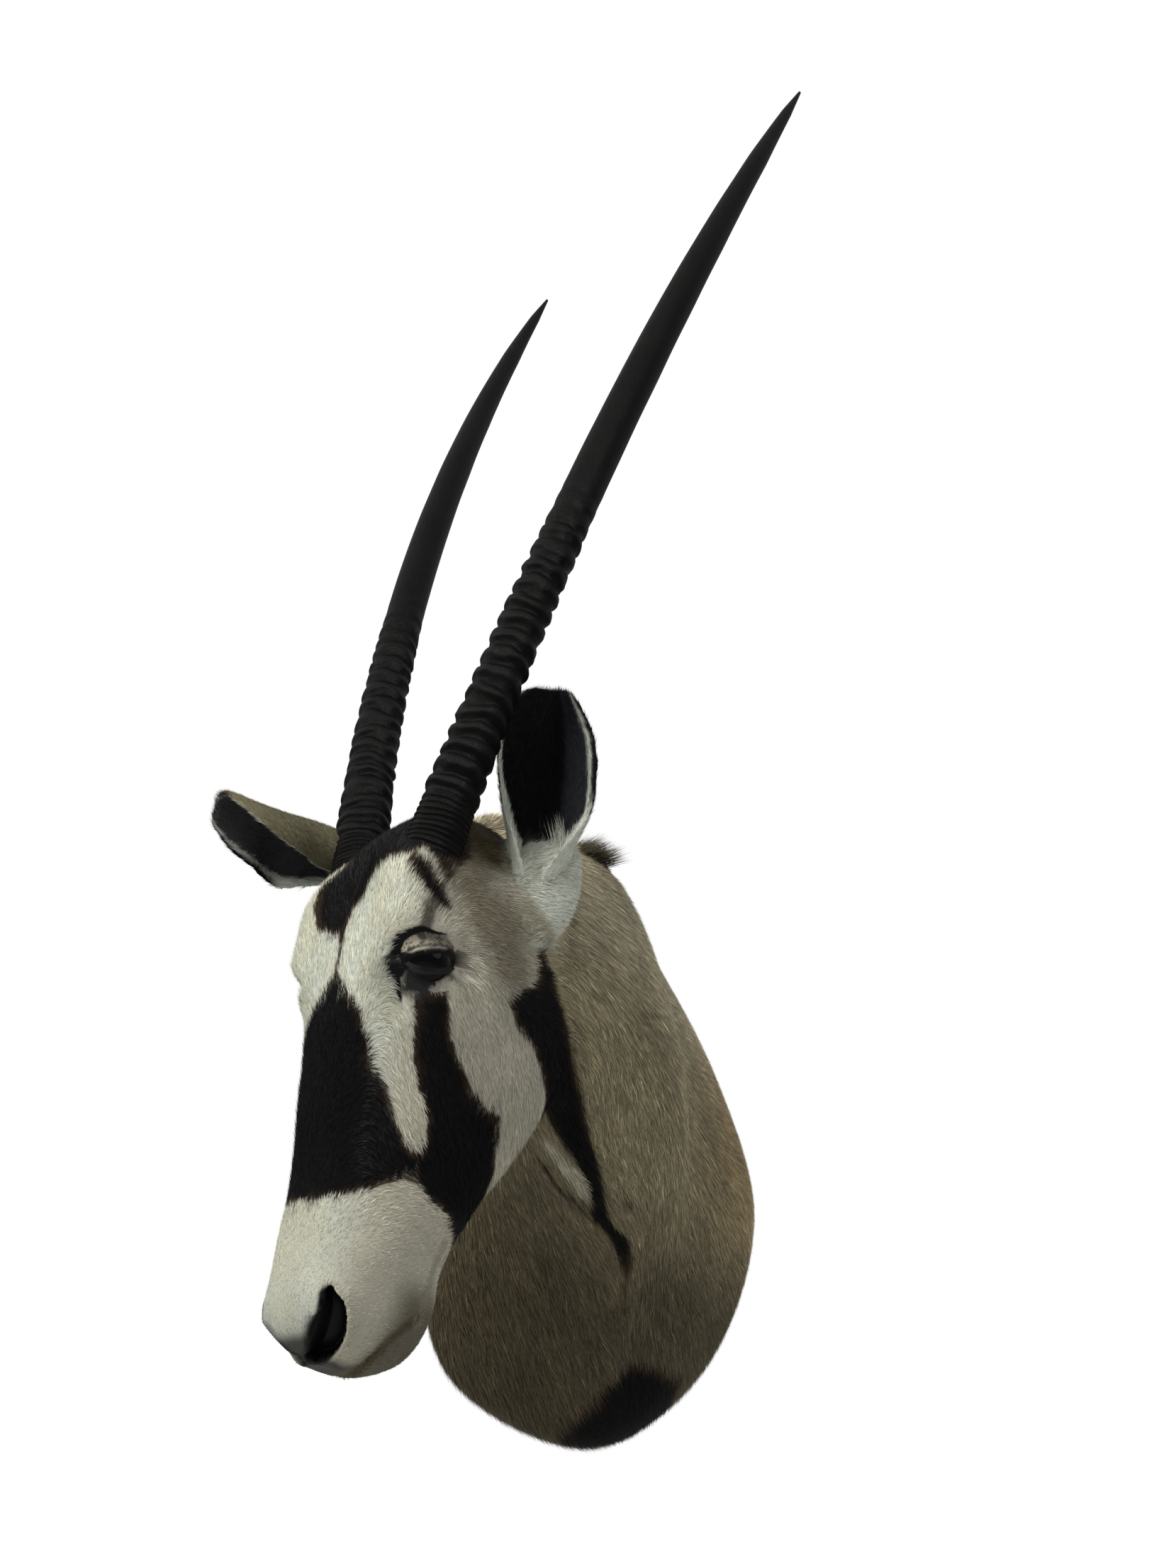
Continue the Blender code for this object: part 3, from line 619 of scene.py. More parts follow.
# The black line that runs down from the front corner, in head coordinates, and half its breadth.
CANTHUS = ((57, -6, -102), (54.5, -3, -108), (53, 0, -113), (51.7, 3, -117), (51.6, 5.6, -120))
CANTHUS_HALF = (3.4, 3.3, 3.0, 2.6, 1.6)
NOSTRIL_LINE = ((36, 16, -313), (35, 23, -321), (27, 29, -330), (16, 33, -338), (7, 34, -342))
NOSTRIL_RADII = (4.0, 8.5, 11.0, 9.0, 5.0)
NOSTRIL_INWARD = unit((-0.50, 0.50, 0.70))
NOSTRIL_OUTWARD = unit((0.68, 0.68, 0.29))
NOSTRIL_DEPTH = 12.0
NOSTRIL_REACH = 0.036
MOUTH_LINE = ((36, 86, -304), (38, 76, -314), (35, 67, -326), (22, 62, -340), (0, 66, -346))
LIP_FOLD = ((32, 96, -254), (36, 89, -285), (34, 86, -306))


def mirrored(points):
    """Head coordinates with the right half laid over the left one, and each point's side."""
    spots = to_head(points)
    side = np.where(spots[:, 0] < 0, -1.0, 1.0)
    spots[:, 0] *= side
    return spots, side


def side_factors(side, columns=3):
    """Factors that lay mirrored rows back on their own side."""
    factors = np.ones((len(side), columns))
    factors[:, 0] = side
    return factors


def lid_map(toward):
    """Directions from the eye's centre, as millimetres over the ball: rearwards and up."""
    ahead = np.clip(toward @ EYE_GAZE, -0.999, 0.9999)
    angle = np.arccos(ahead)
    stretch = EYE_RADIUS / MM * angle / np.sin(angle)
    return np.column_stack((toward @ EYE_REAR, toward @ EYE_UP)) * stretch[:, None]


def lid_outline():
    x, y = np.array(through(EYE_OPENING, np.linspace(0, len(EYE_OPENING), 56, endpoint=False), True)).T
    radius = EYE_RADIUS / MM
    z = np.sqrt(np.maximum(radius ** 2 - x ** 2 - y ** 2, 1.0))
    return lid_map(unit(x[:, None] * EYE_REAR + y[:, None] * EYE_UP + z[:, None] * EYE_GAZE))


def lid_distance(spots):
    """How far mirrored head coordinates lie outside the eye's opening, in mm over the ball, and
    where on it they lie."""
    toward = unit(spots - EYE_CENTRE)
    flat = lid_map(toward)
    far = outline_distance(flat, lid_outline())
    return np.where(toward @ EYE_GAZE > 0.05, far, 99.0), flat


LID_EDGE = 0.6                        # millimetres by which the lid's rim stands off the eyeball
LID_HEIGHT = 2.4                      # and its outer face
LID_SUNK = 5.0                        # how far inside the ball the skin lies in the opening
LID_FURROW = (4.8, 0.7)               # along the upper lid: distance from the opening, breadth
LID_FURROW_DEPTH = 0.8
CREASE_BREADTH = 1.7
CREASE_DEPTH = 3.0
LID_REACH = 7.0                       # how far from the opening the lower lid's form goes on
UPPER_REACH = 9.0                     # and how much farther the upper one's


def shape_lids(spots):
    """Lay the skin round an eye over its ball, and into the socket where the eye is open."""
    near = np.linalg.norm(spots - EYE_CENTRE, axis=1) < 0.050
    far, flat = lid_distance(spots[near])
    offset = spots[near] - EYE_CENTRE
    reach = np.linalg.norm(offset, axis=1)
    upper = smooth_step(-4, 6, flat[:, 1])
    height = (-LID_SUNK + (LID_SUNK + LID_EDGE) * smooth_step(-2.2, -0.2, far)
              + (LID_HEIGHT - LID_EDGE) * smooth_step(-0.2, 2.6, far)
              - LID_FURROW_DEPTH * upper * bell(far, *LID_FURROW)
              - CREASE_DEPTH * bell(line_distance(flat, LID_CREASE)[0], 0, CREASE_BREADTH))
    width = LID_REACH + UPPER_REACH * upper
    weight = 1.0 - smooth_step(0.45 * width, width + 1.0, far)
    goal = EYE_RADIUS + height * MM
    reach = reach + weight * (goal - reach)
    spots = spots.copy()
    spots[near] = EYE_CENTRE + unit(offset) * reach[:, None]
    return spots


def groove(spots, normals, line, radius, depth):
    """Press a groove along a line into mirrored head coordinates; sizes in millimetres."""
    curve = through(line, np.linspace(0, len(line) - 1, 4 * len(line)))
    return spots - normals * (bell(from_line(spots, curve), 0, radius) * depth * MM)[:, None]


def nostril_pit(spots):
    """How deep a nostril is sunk there, 0 to 1, the distance from its line over its radius, and
    how far it lies to the line's outer side in millimetres."""
    line = through(NOSTRIL_LINE, np.linspace(0, len(NOSTRIL_LINE) - 1, 17)) * MM
    near = np.linalg.norm(spots - line[8], axis=1) < NOSTRIL_REACH
    flat_line = line - np.outer(line @ NOSTRIL_INWARD, NOSTRIL_INWARD)
    flat = spots - np.outer(spots @ NOSTRIL_INWARD, NOSTRIL_INWARD)
    away, place = line_distance(flat / MM, flat_line / MM)
    radius = through(np.array(NOSTRIL_RADII)[:, None], place / 4.0)[:, 0]
    outer = (flat - through(flat_line, place)) @ NOSTRIL_OUTWARD / MM
    start = 0.10 + 0.65 * smooth_step(-2.0, 3.0, outer)
    far = np.where(near, away / radius, 9.0)
    return 1.0 - smooth_step(start, 1.0, far), far, outer


THROAT_EDGES = (12.0, 4.5)            # beside the stripe: distance and breadth, in millimetres
THROAT_EDGE_HEIGHT = 2.2
THROAT_VALLEY = 5.5
THROAT_VALLEY_DEPTH = 7.0
NOSTRIL_RIM = (1.15, 0.16)            # distance and breadth, over the nostril's radius
MOUTH_GROOVE = (1.7, 3.0)             # radius and depth, in millimetres
LIP_GROOVE = (2.0, 2.0)


def fold_throat(points, triangles):
    """The valley along the throat's dark stripe, with a raised edge on either side."""
    away, place = line_distance(points / MM, np.array(THROAT_STRIPE)[3:, :3])
    shown = smooth_step(0.0, 1.0, place) * smooth_step(11.0, 9.0, place)
    relief = (THROAT_EDGE_HEIGHT * bell(away, *THROAT_EDGES)
              - THROAT_VALLEY_DEPTH * bell(away, 0, THROAT_VALLEY))
    return points + point_normals(points, triangles) * (relief * shown * MM)[:, None]


def sculpt(points, triangles):
    """Lids, nostrils, mouth and the fold of the lip in the skin's points."""
    spots, side = mirrored(points)
    mirror = side_factors(side)

    def normals():
        turned = point_normals(from_head(spots * mirror), triangles) @ HEAD_AXES.T
        return turned * mirror

    spots = shape_lids(spots)
    spots = groove(spots, normals(), MOUTH_LINE, *MOUTH_GROOVE)
    spots = groove(spots, normals(), LIP_FOLD, *LIP_GROOVE)
    sunk, far, _ = nostril_pit(spots)
    rim = bell(far, *NOSTRIL_RIM)
    pit = NOSTRIL_INWARD * (sunk * NOSTRIL_DEPTH * MM)[:, None]
    spots = spots + pit + normals() * (rim * MM)[:, None]
    return from_head(spots * mirror)


# ---------------------------------------------------------------- the skin
REFINED_ROUND_EYES = (0.034, 0.027)   # how far each halving of the edges reaches
STEM_RADII = (0.034, 0.040, 0.050)    # of the space in which an ear's stem is evened out


def read_forms(points, tree, parts, flows, ears):
    """The part, the hair's direction and the place on an ear, from the nearest form."""
    nearest = np.array([tree.find(point)[1] for point in points])
    weights = np.eye(4)[parts[nearest]]
    return weights, flows[nearest], ears[nearest]


def make_skin():
    """The skin's points and triangles, with its parts, the hair's first direction and normals."""
    form_points, form_faces, form_parts, form_flows, form_ears = make_forms()
    points, triangles = first_skin(form_points, form_faces)
    for reach in REFINED_ROUND_EYES:
        spots, _ = mirrored(points)
        corner = spots[triangles].mean(axis=1)
        near_eye = np.linalg.norm(corner - EYE_CENTRE - 0.012 * EYE_GAZE, axis=1) < reach
        near_nose = nostril_pit(corner)[1] < 1.45
        near_mouth = from_line(corner, MOUTH_LINE) < 5.0
        points, triangles = refine(points, triangles, near_eye | near_nose | near_mouth)
    tree = KDTree(len(form_points))
    for i, point in enumerate(form_points):
        tree.insert(point, i)
    tree.balance()
    weights, flow, ear = read_forms(points, tree, form_parts, form_flows, form_ears)
    edges, _ = mesh_edges(triangles)
    head_like = weights[:, HEAD] + weights[:, EAR]
    seam = np.zeros(len(points))
    mixed = np.abs(head_like[edges[:, 0]] - head_like[edges[:, 1]]) > 0.5
    seam[edges[mixed].ravel()] = 1.0
    seam = np.clip(spread_values(seam, edges, 10) * 4.0, 0, 1)
    stem = np.linalg.norm((to_head(points) - EAR_BASES[0][0]) / STEM_RADII, axis=1)
    seam = np.maximum(seam, smooth_step(1.25, 0.85, stem) * (1.0 - weights[:, EAR]))
    even = spread_values(points, edges, 14)
    points = points + seam[:, None] * (even - points)
    stem = smooth_step(1.15, 0.75, stem) * (1.0 - weights[:, EAR])
    points = points + stem[:, None] * (spread_values(points, edges, 45) - points)
    weights = spread_values(weights, edges, 5)
    flow = unit(spread_values(flow, edges, 8))
    depth = HAIR_DEPTH * (1.0 - 0.6 * weights[:, EAR])
    points = points - point_normals(points, triangles) * depth[:, None]
    points = sculpt(fold_throat(points, triangles), triangles)
    points[:, 1] = np.minimum(points[:, 1], SKIN_BACK)
    return {"points": points, "triangles": triangles, "weights": weights, "flow": flow, "ear": ear,
            "edges": edges, "normals": point_normals(points, triangles)}


# ---------------------------------------------------------------- colours of the coat
WHITE = (0.64, 0.66, 0.58)
CREAM = (0.60, 0.57, 0.43)
# This white also paints a highlight line along the upper lid's rim.
CHEEK_WHITE_AND_HIGHLIGHT = (0.56, 0.53, 0.43)
TAN = (0.25, 0.22, 0.155)
CHIN_BROWN = (0.115, 0.100, 0.072)
POLL_BROWN = (0.065, 0.048, 0.022)
NECK_BROWN = (0.345, 0.300, 0.190)
# This pale colour also paints light from above on the neck's top.
NECK_PALE_AND_LIT = (0.520, 0.465, 0.330)
NECK_RIM = (0.370, 0.280, 0.155)
MANE_BROWN = (0.215, 0.165, 0.085)
# This brown also paints shade under the head and towards the bottom of the chest.
CHEST_BROWN_AND_SHADE = (0.085, 0.068, 0.040)
BLACK = (0.0032, 0.0030, 0.0032)
BLACK_EDGE = (0.032, 0.018, 0.010)
HOLLOW_BLACK = (0.0010, 0.0010, 0.0012)
# This grey also paints shade in the upper lid's furrow and before the eye's front corner.
LID_GREY_AND_SHADE = (0.026, 0.025, 0.026)
LID_PINK = (0.115, 0.098, 0.078)
NOSE_GREY = (0.060, 0.060, 0.062)
EAR_OLIVE = (0.190, 0.170, 0.105)
EAR_GREY = (0.021, 0.022, 0.027)

# Markings on the face: degrees round the head from its front line, and millimetres up it.
FACE_PATCH = ((-20, -100), (0, -100), (10, -110), (19, -119), (31, -135), (38, -152), (44, -166),
              (54, -174), (64, -188), (73, -200), (84, -207), (93, -207), (96, -198), (88, -178),
              (77, -169), (66, -147), (61, -127), (61, -112), (77, -108), (84, -127), (97, -141),
              (117, -157), (139, -159), (143, -168), (151, -187), (163, -200), (180, -205), (200, -205),
              (200, -255), (180, -255), (160, -250), (141, -240), (120, -234), (100, -227), (85, -228),
              (71, -239), (49, -249), (24, -255), (0, -254), (-20, -254))
# The forehead's is wider on one side, so its degrees count from the animal's right (negative)
# to its left. The others are alike on both sides.
FOREHEAD_PATCH = ((-2, -76), (2, -65), (4, -50), (12, -45), (14, -33), (18, -23), (31, -26), (40, -28),
                  (46, -22), (50, -8), (44, 60), (-50, 60), (-40, 10), (-25, -2), (-28, -10), (-33, -16),
                  (-34, -39), (-31, -50), (-26, -59), (-14, -65), (-6, -69))
BROW_PATCH = ((44, -22), (52, -27), (57, -35), (62, -42), (66, -47), (67, -52), (64, -56), (58, -53),
              (52, -48), (48, -42), (42, -33))
BROW_LINE = ((60, -52), (56, -60), (57, -70), (57, -79))
CHEEK_PATCH = ((132, -33), (138, -33), (147, -44), (154, -62), (162, -81), (172, -92), (182, -104),
               (200, -104), (200, -150), (180, -150), (170, -137), (158, -127), (148, -114), (140, -103),
               (129, -100), (117, -89), (132, -67), (137, -45))
DEGREE = 0.96                         # millimetres of skin per degree round the head
HORN_FOOT = 24.5                      # radius of the black skin round a horn, in millimetres
# Where the neck's brown begins behind the cheek: millimetres up the face, and degrees.
NECK_EDGE = ((-120, 178), (-104, 172), (-90, 166), (-74, 154), (-57, 147), (-41, 144), (-25, 140), (-10, 150))
# The near edge of the white stem of the left ear: millimetres up, and backwards into the head.
STEM_EDGE = ((-24, 112), (-20, 98), (-13, 84), (-4, 74), (4, 67), (18, 62), (37, 50))
# Markings on the neck, and a painted shadow in the throat's fold (the slit), in millimetres in the
# part's frame, with half their breadth.
THROAT_STRIPE = ((-36, -552, -22, 8), (-34, -545, -40, 10), (-33, -522, -62, 13), (-31, -506, -74, 15),
                 (-27, -484, -87, 14), (-21, -464, -96, 12), (-14, -445, -102, 8), (-9, -424, -113, 5),
                 (-4, -404, -125, 7), (-4, -393, -133, 10), (3, -383, -140, 5.5), (13, -368, -151, 8.5),
                 (17, -357, -160, 5), (19, -340, -174, 2), (18, -320, -198, 1))
THROAT_SPUR = ((-3, -410, -120), (8, -405, -124), (20, -397, -129))
# The slit: a dark line painted where the throat's fold is in shadow.
THROAT_FOLD_SHADOW = ((-49, -427, -103), (-37, -410, -119), (-13, -400, -137))
THROAT_LIGHT = ((-40, -450, -96), (-27, -433, -109), (-15, -416, -123))
# The dark bristles on the mane behind the near ear.
TUFT_PLACE = (-0.007, -0.434, 0.142)
TUFT_REACH = 0.026
# The brisket's dark patch: x, and 0.8 of y less 0.6 of z.
BRISKET_PATCH = ((24, -87), (15, -75), (0, -67), (-16, -45), (-38, -16), (-46, -2), (-30, 14), (3, 28),
                 (10, 58), (44, 55), (66, 22), (64, -7), (72, -16), (58, -44), (32, -75))


def mix(base, colour, share):
    base = np.asarray(base)
    return base + (np.asarray(colour) - base) * np.asarray(share)[:, None]


def layered(colour, *layers):
    """A colour under others, each with the share by which it covers what is below."""
    for over, share in layers:
        colour = mix(colour, over, share)
    return colour


def chart(spots):
    """Degrees round the head and millimetres up it."""
    angle = np.degrees(np.arctan2(spots[:, 0], 0.045 - spots[:, 1]))
    return np.column_stack((angle, spots[:, 2] / MM))


def blob(flat, middle, radii):
    return np.exp(-(((flat - middle) / radii) ** 2).sum(axis=1))


def patch(flat, outline, ragged):
    """How far inside a marking, in millimetres, with a ragged edge."""
    scale = np.array((DEGREE, 1.0))
    return ragged - outline_distance(flat * scale, np.array(outline) * scale)


def head_coat(spots, side, flat, ragged):
    """White, tan and brown hair on the head, with the black markings."""
    angle, u = flat.T
    whole = flat * side_factors(side, 2)
    colour = layered(WHITE, (CREAM, 0.7 * noise(spots, 0.021)), (CHEEK_WHITE_AND_HIGHLIGHT, smooth_step(35, 75, angle)))
    colour = colour * (1.0 - 0.17 * smooth_step(-235, -265, u))[:, None]
    chin = smooth_step(100, 132, angle) * smooth_step(-276, -300, u)
    tan = np.maximum(blob(flat, (98, -38), (30, 30)), blob(flat, (114, -60), (18, 24)))
    tan = np.maximum(tan, blob(flat, (76, -14), (20, 32)))
    behind = angle - np.interp(u, *np.transpose(NECK_EDGE)) + ragged
    behind = smooth_step(-3, 2, behind) * smooth_step(-130, -118, u) * (u < 40)
    colour = layered(colour, (CHIN_BROWN, 0.9 * chin), (TAN, np.clip(1.35 * tan, 0, 1)),
                     (NECK_BROWN, behind))
    beyond = spots[:, 1] / MM - np.interp(u, *np.transpose(STEM_EDGE)) + ragged
    shown = smooth_step(-3, 4, beyond) * smooth_step(-30, -18, u + ragged) * (side > 0)
    for middle, radii in EAR_BASES[:2]:
        foot = np.linalg.norm((spots - middle) / (np.array(radii) + 0.008), axis=1)
        colour = mix(colour, WHITE, smooth_step(1.4, 1.1, foot) * shown)
    middle, radii = EAR_BASES[2]
    foot = np.linalg.norm((spots * (-1, 1, 1) - middle) / (np.array(radii) + 0.008), axis=1)
    colour = mix(colour, WHITE, smooth_step(1.35, 0.85, foot) * (side < 0))
    poll = smooth_step(-6, 14, u) * smooth_step(128, 96, angle)
    colour = mix(colour, POLL_BROWN, poll * (0.75 + 0.4 * noise(spots, 0.012)))
    dark = np.maximum(patch(flat, FACE_PATCH, ragged), patch(whole, FOREHEAD_PATCH, ragged))
    dark = np.maximum(dark, patch(flat, BROW_PATCH, 0.6 * ragged))
    line = 3.0 - line_distance(flat * (DEGREE, 1.0), np.array(BROW_LINE) * (DEGREE, 1.0))[0]
    colour = mix(colour, CHEEK_WHITE_AND_HIGHLIGHT, 0.7 * blob(flat, (65, -65), (5, 8)))
    colour = mix(colour, BLACK_EDGE, 0.8 * smooth_step(-0.8, 1.2, line + 0.4 * ragged))
    horn = np.linalg.norm((spots - (HORN_SPACING / 2, *HORN_BASE)) * (1, 1, 0.35), axis=1) / MM
    dark = np.maximum(dark, np.where(u > -40, HORN_FOOT - horn + ragged, -9.0))
    dark = np.maximum(dark, patch(flat, CHEEK_PATCH, ragged))
    crease = 1.6 - angle * DEGREE
    dark = np.maximum(dark, np.where((u < -70) & (u > -104), crease, -9.0))
    colour = mix(colour, BLACK_EDGE, smooth_step(-0.8, 0.6, dark))
    return mix(colour, BLACK, smooth_step(1.0, 5.0, dark + ragged))


def face_marks(colour, spots, flat):
    """Lids, tear line, nostrils and mouth; also how bare the skin is there."""
    bare = np.zeros(len(spots))
    near = np.linalg.norm(spots - EYE_CENTRE, axis=1) < 0.055
    far, over = lid_distance(spots[near])
    lower = smooth_step(1.0, -5.0, over[:, 1])
    blotch = 0.5 * noise(spots[near], 0.0035) + 0.5 * noise(spots[near], 0.0016)
    away, place = line_distance(over, LID_CREASE)
    under = outline_distance(over, LID_CREASE + ((24, 10), (20, -2), (-24, -2)))
    upper = smooth_step(1.4, 2.6, far) * (1 - lower) * smooth_step(1.0, -1.0, under)
    lid = mix(LID_PINK, TAN, smooth_step(4, -10, over[:, 0]))
    reach = np.interp(over[:, 0], (-4, 14), (17.5, 10.0))
    band = smooth_step(reach, reach - 4.0, far + 3.0 * (blotch - 0.5)) * lower
    band = band * smooth_step(-22, -15, over[:, 0]) * smooth_step(23, 15, over[:, 0])
    shade = layered(colour[near], (lid, 0.9 * upper),
                    (LID_GREY_AND_SHADE, upper * smooth_step(0.46, 0.62, blotch) * 0.8),
                    # painted highlight: a pale line along the upper lid's rim
                    (CHEEK_WHITE_AND_HIGHLIGHT, upper * bell(far, 3.1, 0.5) * 0.3),
                    # painted shade: a grey band in the furrow over the upper lid
                    (LID_GREY_AND_SHADE, upper * bell(far, 4.8, 0.6) * 0.7),
                    # the first grey here is the hair under the eye; the second is painted shade in the hollow
                    # before the front corner
                    (LID_GREY_AND_SHADE, band), (LID_GREY_AND_SHADE, 0.55 * blob(over, (-25, -5), (5, 8))))
    corner = smooth_step(1.6, 0.2, outline_distance(over, REAR_CORNER))
    corner = corner * smooth_step(0.0300, 0.0275, np.linalg.norm(spots[near] - EYE_CENTRE, axis=1))
    front = smooth_step(1.4, -0.4, outline_distance(over, FRONT_CORNER) + 1.2 * (blotch - 0.5))
    # The black along the lid's crease is painted shade.
    reach = np.interp(place, np.arange(len(LID_CREASE)), LID_CREASE_SHADE_HALF)
    crease = smooth_step(1.2 * reach, 0.7 * reach, away)
    rim = np.maximum.reduce((smooth_step(2.6, 1.6, far), corner, front, crease))
    colour[near] = mix(shade, BLACK, rim)
    bare[near] = np.maximum(rim, 0.75 * upper)
    away, place = line_distance(spots / MM, CANTHUS)
    reach = np.interp(place, np.arange(len(CANTHUS)), CANTHUS_HALF)
    line = smooth_step(1.2 * reach, 0.8 * reach, away)
    colour = mix(colour, BLACK, line)
    bare = np.maximum(bare, line)
    sunk, pit, outer = nostril_pit(spots)
    slope = smooth_step(0.0, -4.0, outer)
    pad = smooth_step(23, 13, spots[:, 0] / MM) * smooth_step(-329, -336, flat[:, 1])
    pad = pad * smooth_step(62, 50, spots[:, 1] / MM)
    grey = np.maximum(smooth_step(0.0, 0.20, sunk), 0.85 * smooth_step(1.70, 1.10, pit) * slope)
    nose = np.maximum(smooth_step(0.12, 0.45, sunk), smooth_step(1.25, 0.95, pit) * slope)
    nose = np.maximum(nose, 0.9 * pad)
    away = from_line(spots, MOUTH_LINE)
    colour = layered(colour, (NOSE_GREY, grey), (BLACK, nose),
                     (POLL_BROWN, 0.75 * smooth_step(6.0, 1.0, away)),
                     (TAN, 0.7 * smooth_step(7.0, 1.0, from_line(spots, LIP_FOLD))))
    bare = np.maximum(bare, np.maximum(smooth_step(0.0, 0.15, sunk), pad))
    return colour, np.maximum(bare, smooth_step(2.0, 1.0, away))


def neck_coat(points):
    """Brown, paler above and darker below and under the head, partly by painted light and shade; dark on the
    brisket, with the throat's stripe, its spur and its slit, a painted shadow in the fold.
    """
    x, y, z = points.T
    colour = layered(NECK_BROWN,
                     # painted shade under the head on the chest's left, over its darker hair
                     (CHEST_BROWN_AND_SHADE, 0.75 * smooth_step(0.02, -0.06, x) * smooth_step(-0.02, -0.16, z)),
                     # paler towards the top: partly paler hair, partly painted light from above
                     (NECK_PALE_AND_LIT, 0.8 * smooth_step(-0.03, 0.10, z)),
                     (NECK_RIM, 0.8 * smooth_step(0.06, 0.13, x) * smooth_step(-0.20, -0.08, z)),
                     # darker towards the bottom: partly darker chest hair, partly painted shade
                     (CHEST_BROWN_AND_SHADE, 0.85 * smooth_step(-0.09, -0.20, z)),
                     (CHEST_BROWN_AND_SHADE, 0.16 * smooth_step(0.40, 0.85, noise(points, 0.045))),
                     (MANE_BROWN, 0.6 * smooth_step(0.09, 0.17, z)))
    ragged = waver(points, (3.0, 0.009), (4.0, 0.022))
    stripe = np.array(THROAT_STRIPE)
    away, place = line_distance(points / MM, stripe[:, :3])
    breadth = np.interp(place, np.arange(len(stripe)), stripe[:, 3])
    folded = smooth_step(3.0, 4.0, place) * smooth_step(13.5, 10.5, place)
    dark = breadth - away + 4.5 * smooth_step(8.4, 6.8, away) * folded + 0.6 * ragged
    dark = np.maximum(dark, 2.6 - from_line(points, THROAT_SPUR) + 0.3 * ragged)
    # painted shadow along the throat's fold
    dark = np.maximum(dark, 1.2 - from_line(points, THROAT_FOLD_SHADOW))
    light = smooth_step(10.5, 5.0, from_line(points, THROAT_LIGHT))
    under = np.column_stack((x, 0.8 * y - 0.6 * z)) / MM
    brisket = np.where(z < -0.15, ragged - outline_distance(under, BRISKET_PATCH), -9.0)
    dark = np.maximum(dark, brisket)
    return layered(colour, (CHEEK_WHITE_AND_HIGHLIGHT, 0.65 * light), (BLACK_EDGE, smooth_step(-3.0, 1.5, dark)),
                   (BLACK, smooth_step(0.0, 6.0, dark)))


def ear_coat(ear, side):
    """An ear's back and its hollow; ear holds the places along and across it and if inside."""
    along, turn, inner = ear.T
    out = turn * side
    edge = np.abs(turn)
    low = smooth_step(0.50, 0.30, along)
    near = (side > 0).astype(float)
    pale = low * smooth_step(0.15, 0.65, out) + low * near * (out < 0)
    rim = smooth_step(0.78, 0.88, edge) * smooth_step(0.34, 0.42, along) * (near + (out > 0))
    back = layered(EAR_OLIVE, (WHITE, pale), (POLL_BROWN, smooth_step(0.74, 0.90, along)),
                   (BLACK_EDGE, rim))
    grey = np.maximum(smooth_step(0.25, 0.42, out), 0.7 * (1.0 - near))
    outer = np.where(side > 0, np.interp(along, (0.24, 0.31, 0.37), (-0.30, 0.45, 0.80)), 0.84)
    inner_edge = np.interp(along, (0.26, 0.46, 0.90), (0.30, 0.90, 0.95))
    white = smooth_step(outer - 0.03, outer + 0.04, out)
    white = np.maximum(white, smooth_step(inner_edge - 0.02, inner_edge + 0.03, -out))
    inside = layered(HOLLOW_BLACK, (EAR_GREY, grey), (NOSE_GREY, 0.30 * (1.0 - near)),
                     (WHITE, 0.85 * white * smooth_step(0.98, 0.93, along)),
                     (BLACK, smooth_step(0.87, 0.92, out) * smooth_step(0.36, 0.44, along)),
                     (WHITE, 0.45 * bell(along, 0.89, 0.012) * (1 - near)),
                     (BLACK, smooth_step(0.91, 0.93, along)))
    return mix(back, inside, smooth_step(0.35, 0.65, inner))


def coat(points, weights, ear):
    """Colours of the coat at points of the skin, and how bare it is there."""
    spots, side = mirrored(points)
    flat = chart(spots)
    ragged = waver(points, (2.6, 0.0045), (3.0, 0.013))
    head = head_coat(spots, side, flat, ragged)
    head, bare = face_marks(head, spots, flat)
    neck = neck_coat(points)
    ears = ear_coat(ear, side)
    share = weights / np.maximum(weights.sum(axis=1, keepdims=True), 1e-6)
    behind_cheek = smooth_step(0.0, 2.5, patch(flat, CHEEK_PATCH, ragged)) * (spots[:, 1] < 0.165)
    neck = mix(neck, BLACK, behind_cheek * (side > 0))
    colour = (head * share[:, [HEAD]] + neck * (share[:, [NECK]] + share[:, [MANE]])
              + ears * share[:, [EAR]])
    return colour, bare * share[:, HEAD]


# ---------------------------------------------------------------- hair
def head_flow(flat):
    """The hair's direction on the head, in mirrored head coordinates."""
    angle, u = flat.T
    side = smooth_step(30, 58, angle) * smooth_step(-248, -222, u) * (1 - smooth_step(-95, -60, u))
    temple = smooth_step(55, 85, angle) * smooth_step(-95, -60, u)
    muzzle = smooth_step(40, 80, angle) * smooth_step(-222, -248, u)
    return layered((0.10, 0.10, 1.0), ((0.30, 0.55, -0.85), side), ((0.20, 1.0, 0.15), temple),
                   ((0.20, 0.90, 0.55), muzzle))


def hair_flow(skin):
    """The hair's direction at the skin's points, along the skin."""
    points, weights, normals = skin["points"], skin["weights"], skin["normals"]
    spots, side = mirrored(points)
    head = head_flow(chart(spots)) * side_factors(side)
    low = smooth_step(0.08, -0.12, points[:, 2])
    chest = smooth_step(-0.06, -0.12, points[:, 2]) * smooth_step(0.05, 0.0, points[:, 0])
    neck = skin["flow"] + np.column_stack((0.75 * chest, np.zeros(len(points)), -0.55 - 0.40 * low))
    mane = skin["flow"] + (0.0, 0.0, 0.5)
    total = (unit(head @ HEAD_AXES) * weights[:, [HEAD]] + unit(neck) * weights[:, [NECK]]
             + unit(mane) * weights[:, [MANE]] + skin["flow"] * weights[:, [EAR]])
    total = spread_values(total, skin["edges"], 10)
    return unit(total - normals * (total * normals).sum(axis=1, keepdims=True))


